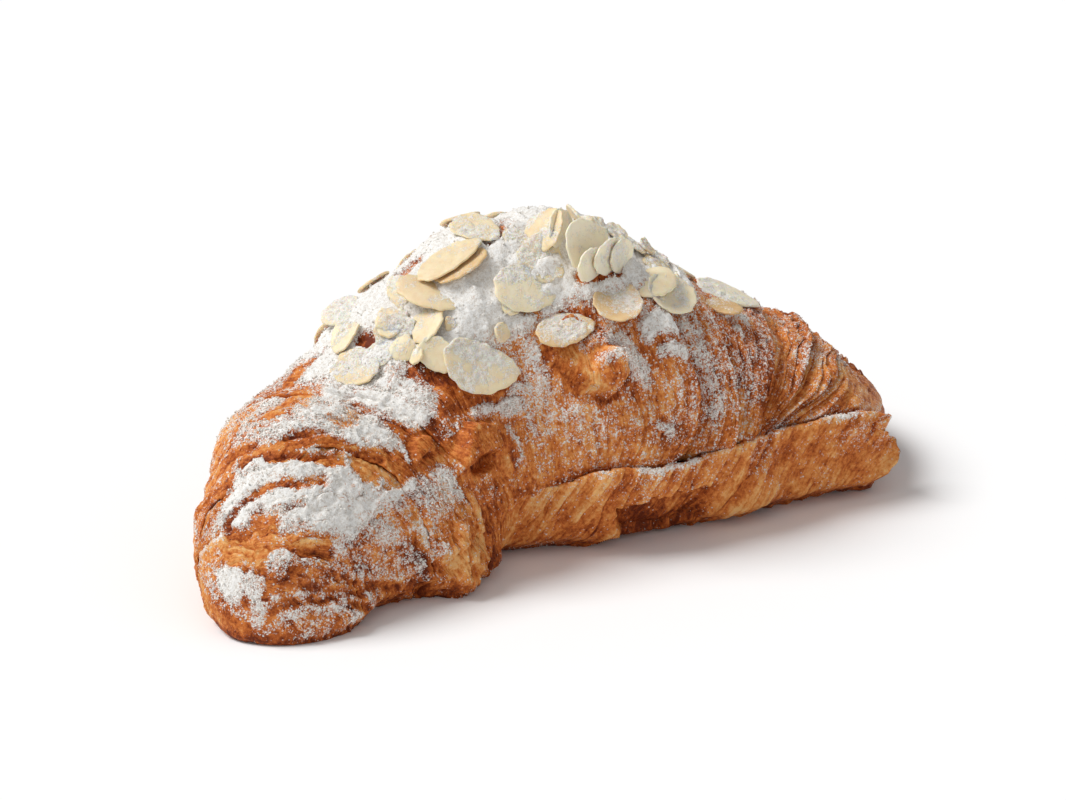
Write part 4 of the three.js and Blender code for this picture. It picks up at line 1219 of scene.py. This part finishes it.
def skinSamples():  # points, outward directions, area and cover of all shown skins
    samples = []
    for skin in skins:
        grid, shown = skin["points"], skin["shown"]
        way = np.cross(np.gradient(grid, axis=0), np.roll(grid, -1, axis=1) - np.roll(grid, 1, axis=1))
        samples.append((grid[shown], way[shown], skin["sugar"][shown]))
    points, ways, covers = map(np.concatenate, zip(*samples))
    area = np.linalg.norm(ways, axis=-1)
    return points, ways / np.maximum(area, 1e-9)[:, None], area, covers


def crumbShape(fine):  # corners and faces of an octahedron, or of an icosahedron
    if not fine:
        corners = np.concatenate([np.eye(3), -np.eye(3)])
        faces = [(0, 1, 2), (1, 3, 2), (3, 4, 2), (4, 0, 2), (1, 0, 5), (3, 1, 5), (4, 3, 5), (0, 4, 5)]
        return corners, np.array(faces)
    g = 1 / goldenShare
    corners = np.array([(-1, g, 0), (1, g, 0), (-1, -g, 0), (1, -g, 0), (0, -1, g), (0, 1, g), (0, -1, -g),
                        (0, 1, -g), (g, 0, -1), (g, 0, 1), (-g, 0, -1), (-g, 0, 1)]) / math.hypot(1, g)
    faces = [(0, 11, 5), (0, 5, 1), (0, 1, 7), (0, 7, 10), (0, 10, 11), (1, 5, 9), (5, 11, 4), (11, 10, 2),
             (10, 7, 6), (7, 1, 8), (3, 9, 4), (3, 4, 2), (3, 2, 6), (3, 6, 8), (3, 8, 9), (4, 9, 5),
             (2, 4, 11), (6, 2, 10), (8, 6, 7), (9, 8, 1)]
    return corners, np.array(faces)


def quaternionTurns(quaternions):  # rotation matrices
    w, x, y, z = quaternions / np.linalg.norm(quaternions, axis=0)
    return np.stack([1 - 2 * (y * y + z * z), 2 * (x * y - z * w), 2 * (x * z + y * w),
                     2 * (x * y + z * w), 1 - 2 * (x * x + z * z), 2 * (y * z - x * w),
                     2 * (x * z - y * w), 2 * (y * z + x * w), 1 - 2 * (x * x + y * y)], -1).reshape(-1, 3, 3)


def scatterSugar(name, material):
    # crumbs drawn by area and cover, each turned by its own quaternion, uneven at every corner
    loose, look = looseSugar[name], looseLook
    count = loose["count"]
    rng = np.random.default_rng(loose["seed"])
    points, ways, area, cover = skinSamples()
    weight = area * smooth(cover, *loose["cover"]) * (1 - look["heapedLess"] * smooth(cover, *look["heaped"]))
    chosen = rng.choice(len(points), count, p=weight / weight.sum())
    low, high = loose["radius"]
    radius = low * (high / low) ** rng.uniform(0, 1, count) ** look["smallMore"]
    corners, faces = crumbShape(name == "sugarLumps")
    turns = quaternionTurns(rng.normal(size=(4, count)))
    uneven = rng.uniform(*look["uneven"], (count, len(corners), 1))
    shape = np.einsum("nij,kj->nki", turns, corners) * uneven * radius[:, None, None]
    stray = rng.uniform(-1, 1, (count, 3)) * loose["jitter"]
    middle = points[chosen] + stray + ways[chosen] * (radius * look["lift"])[:, None]
    vertices = middle[:, None] + shape
    vertices[..., 2] = np.maximum(vertices[..., 2], 0)
    every = (faces + np.arange(count)[:, None, None] * len(corners)).reshape(-1, 3)
    makePiece(name, toFrame(vertices.reshape(-1, 3)), [every], material)


sugarLook = sugarMaterial()
for looseName in looseSugar:
    scatterSugar(looseName, sugarLook)


# Floor, light and camera

studio = {
    "floorSize": 6.0, "floorColour": (0.95, 0.95, 0.95, 1), "floorRoughness": 0.9,
    "skyColour": (1, 1, 1, 1), "skyStrength": 0.31,
    "lamps": {
        "softKey": {"strength": 2.7, "spread": 30, "way": (-0.48, 0.375, 0.79)},
        "softFill": {"strength": 0.42, "spread": 120, "way": (-0.35, -0.75, 0.55)},
    },
}
view = {
    "azimuth": -38.07, "elevation": 22.0, "distance": 671.4, "aim": (-0.63, 7.18, 30.0), "aside": 2.24,
    "down": 3.6, "lens": 100, "sensor": 36,  # degrees, and millimetres
}


def buildStudio():  # a square floor, an even sky and suns that shine from the directions in the table
    side = studio["floorSize"] / 2
    mesh = bpy.data.meshes.new("floor")
    corners = [(-side, -side, 0), (side, -side, 0), (side, side, 0), (-side, side, 0)]
    mesh.from_pydata(corners, [], [(0, 1, 2, 3)])
    floor = bpy.data.objects.new("floor", mesh)
    bpy.context.scene.collection.objects.link(floor)
    look = {"Base Color": studio["floorColour"], "Roughness": studio["floorRoughness"]}
    mesh.materials.append(Sheet("paleFloor").finish({**look, "Specular IOR Level": 0.0}))
    world = bpy.data.worlds.new("softRoom")
    world.use_nodes = True
    background = world.node_tree.nodes["Background"]
    background.inputs["Color"].default_value = studio["skyColour"]
    background.inputs["Strength"].default_value = studio["skyStrength"]
    bpy.context.scene.world = world
    for name, lamp in studio["lamps"].items():
        sun = bpy.data.lights.new(name, "SUN")
        sun.energy = lamp["strength"]
        sun.angle = math.radians(lamp["spread"])
        holder = bpy.data.objects.new(name, sun)
        x, y, z = lamp["way"]
        holder.rotation_euler = (math.acos(z / math.hypot(x, y, z)), 0, math.atan2(y, x) + math.pi / 2)
        bpy.context.scene.collection.objects.link(holder)


def buildCamera():  # looks at the aim from an azimuth and elevation, shifted aside and down in the picture
    a, e = math.radians(view["azimuth"]), math.radians(view["elevation"])
    forward = np.array([-math.sin(a) * math.cos(e), math.cos(a) * math.cos(e), -math.sin(e)])
    right = np.array([math.cos(a), math.sin(a), 0])
    up = np.cross(right, forward)
    aim = np.array(view["aim"]) + right * view["aside"] - up * view["down"]
    data = bpy.data.cameras.new("view")
    data.lens, data.sensor_width = view["lens"], view["sensor"]
    camera = bpy.data.objects.new("view", data)
    camera.location = (aim - forward * view["distance"]) * mm
    camera.rotation_euler = (math.pi / 2 - e, 0, a)
    bpy.context.scene.collection.objects.link(camera)
    bpy.context.scene.camera = camera


buildStudio()
buildCamera()
bpy.context.scene.view_settings.view_transform = "Standard"
print("studio and camera ready")
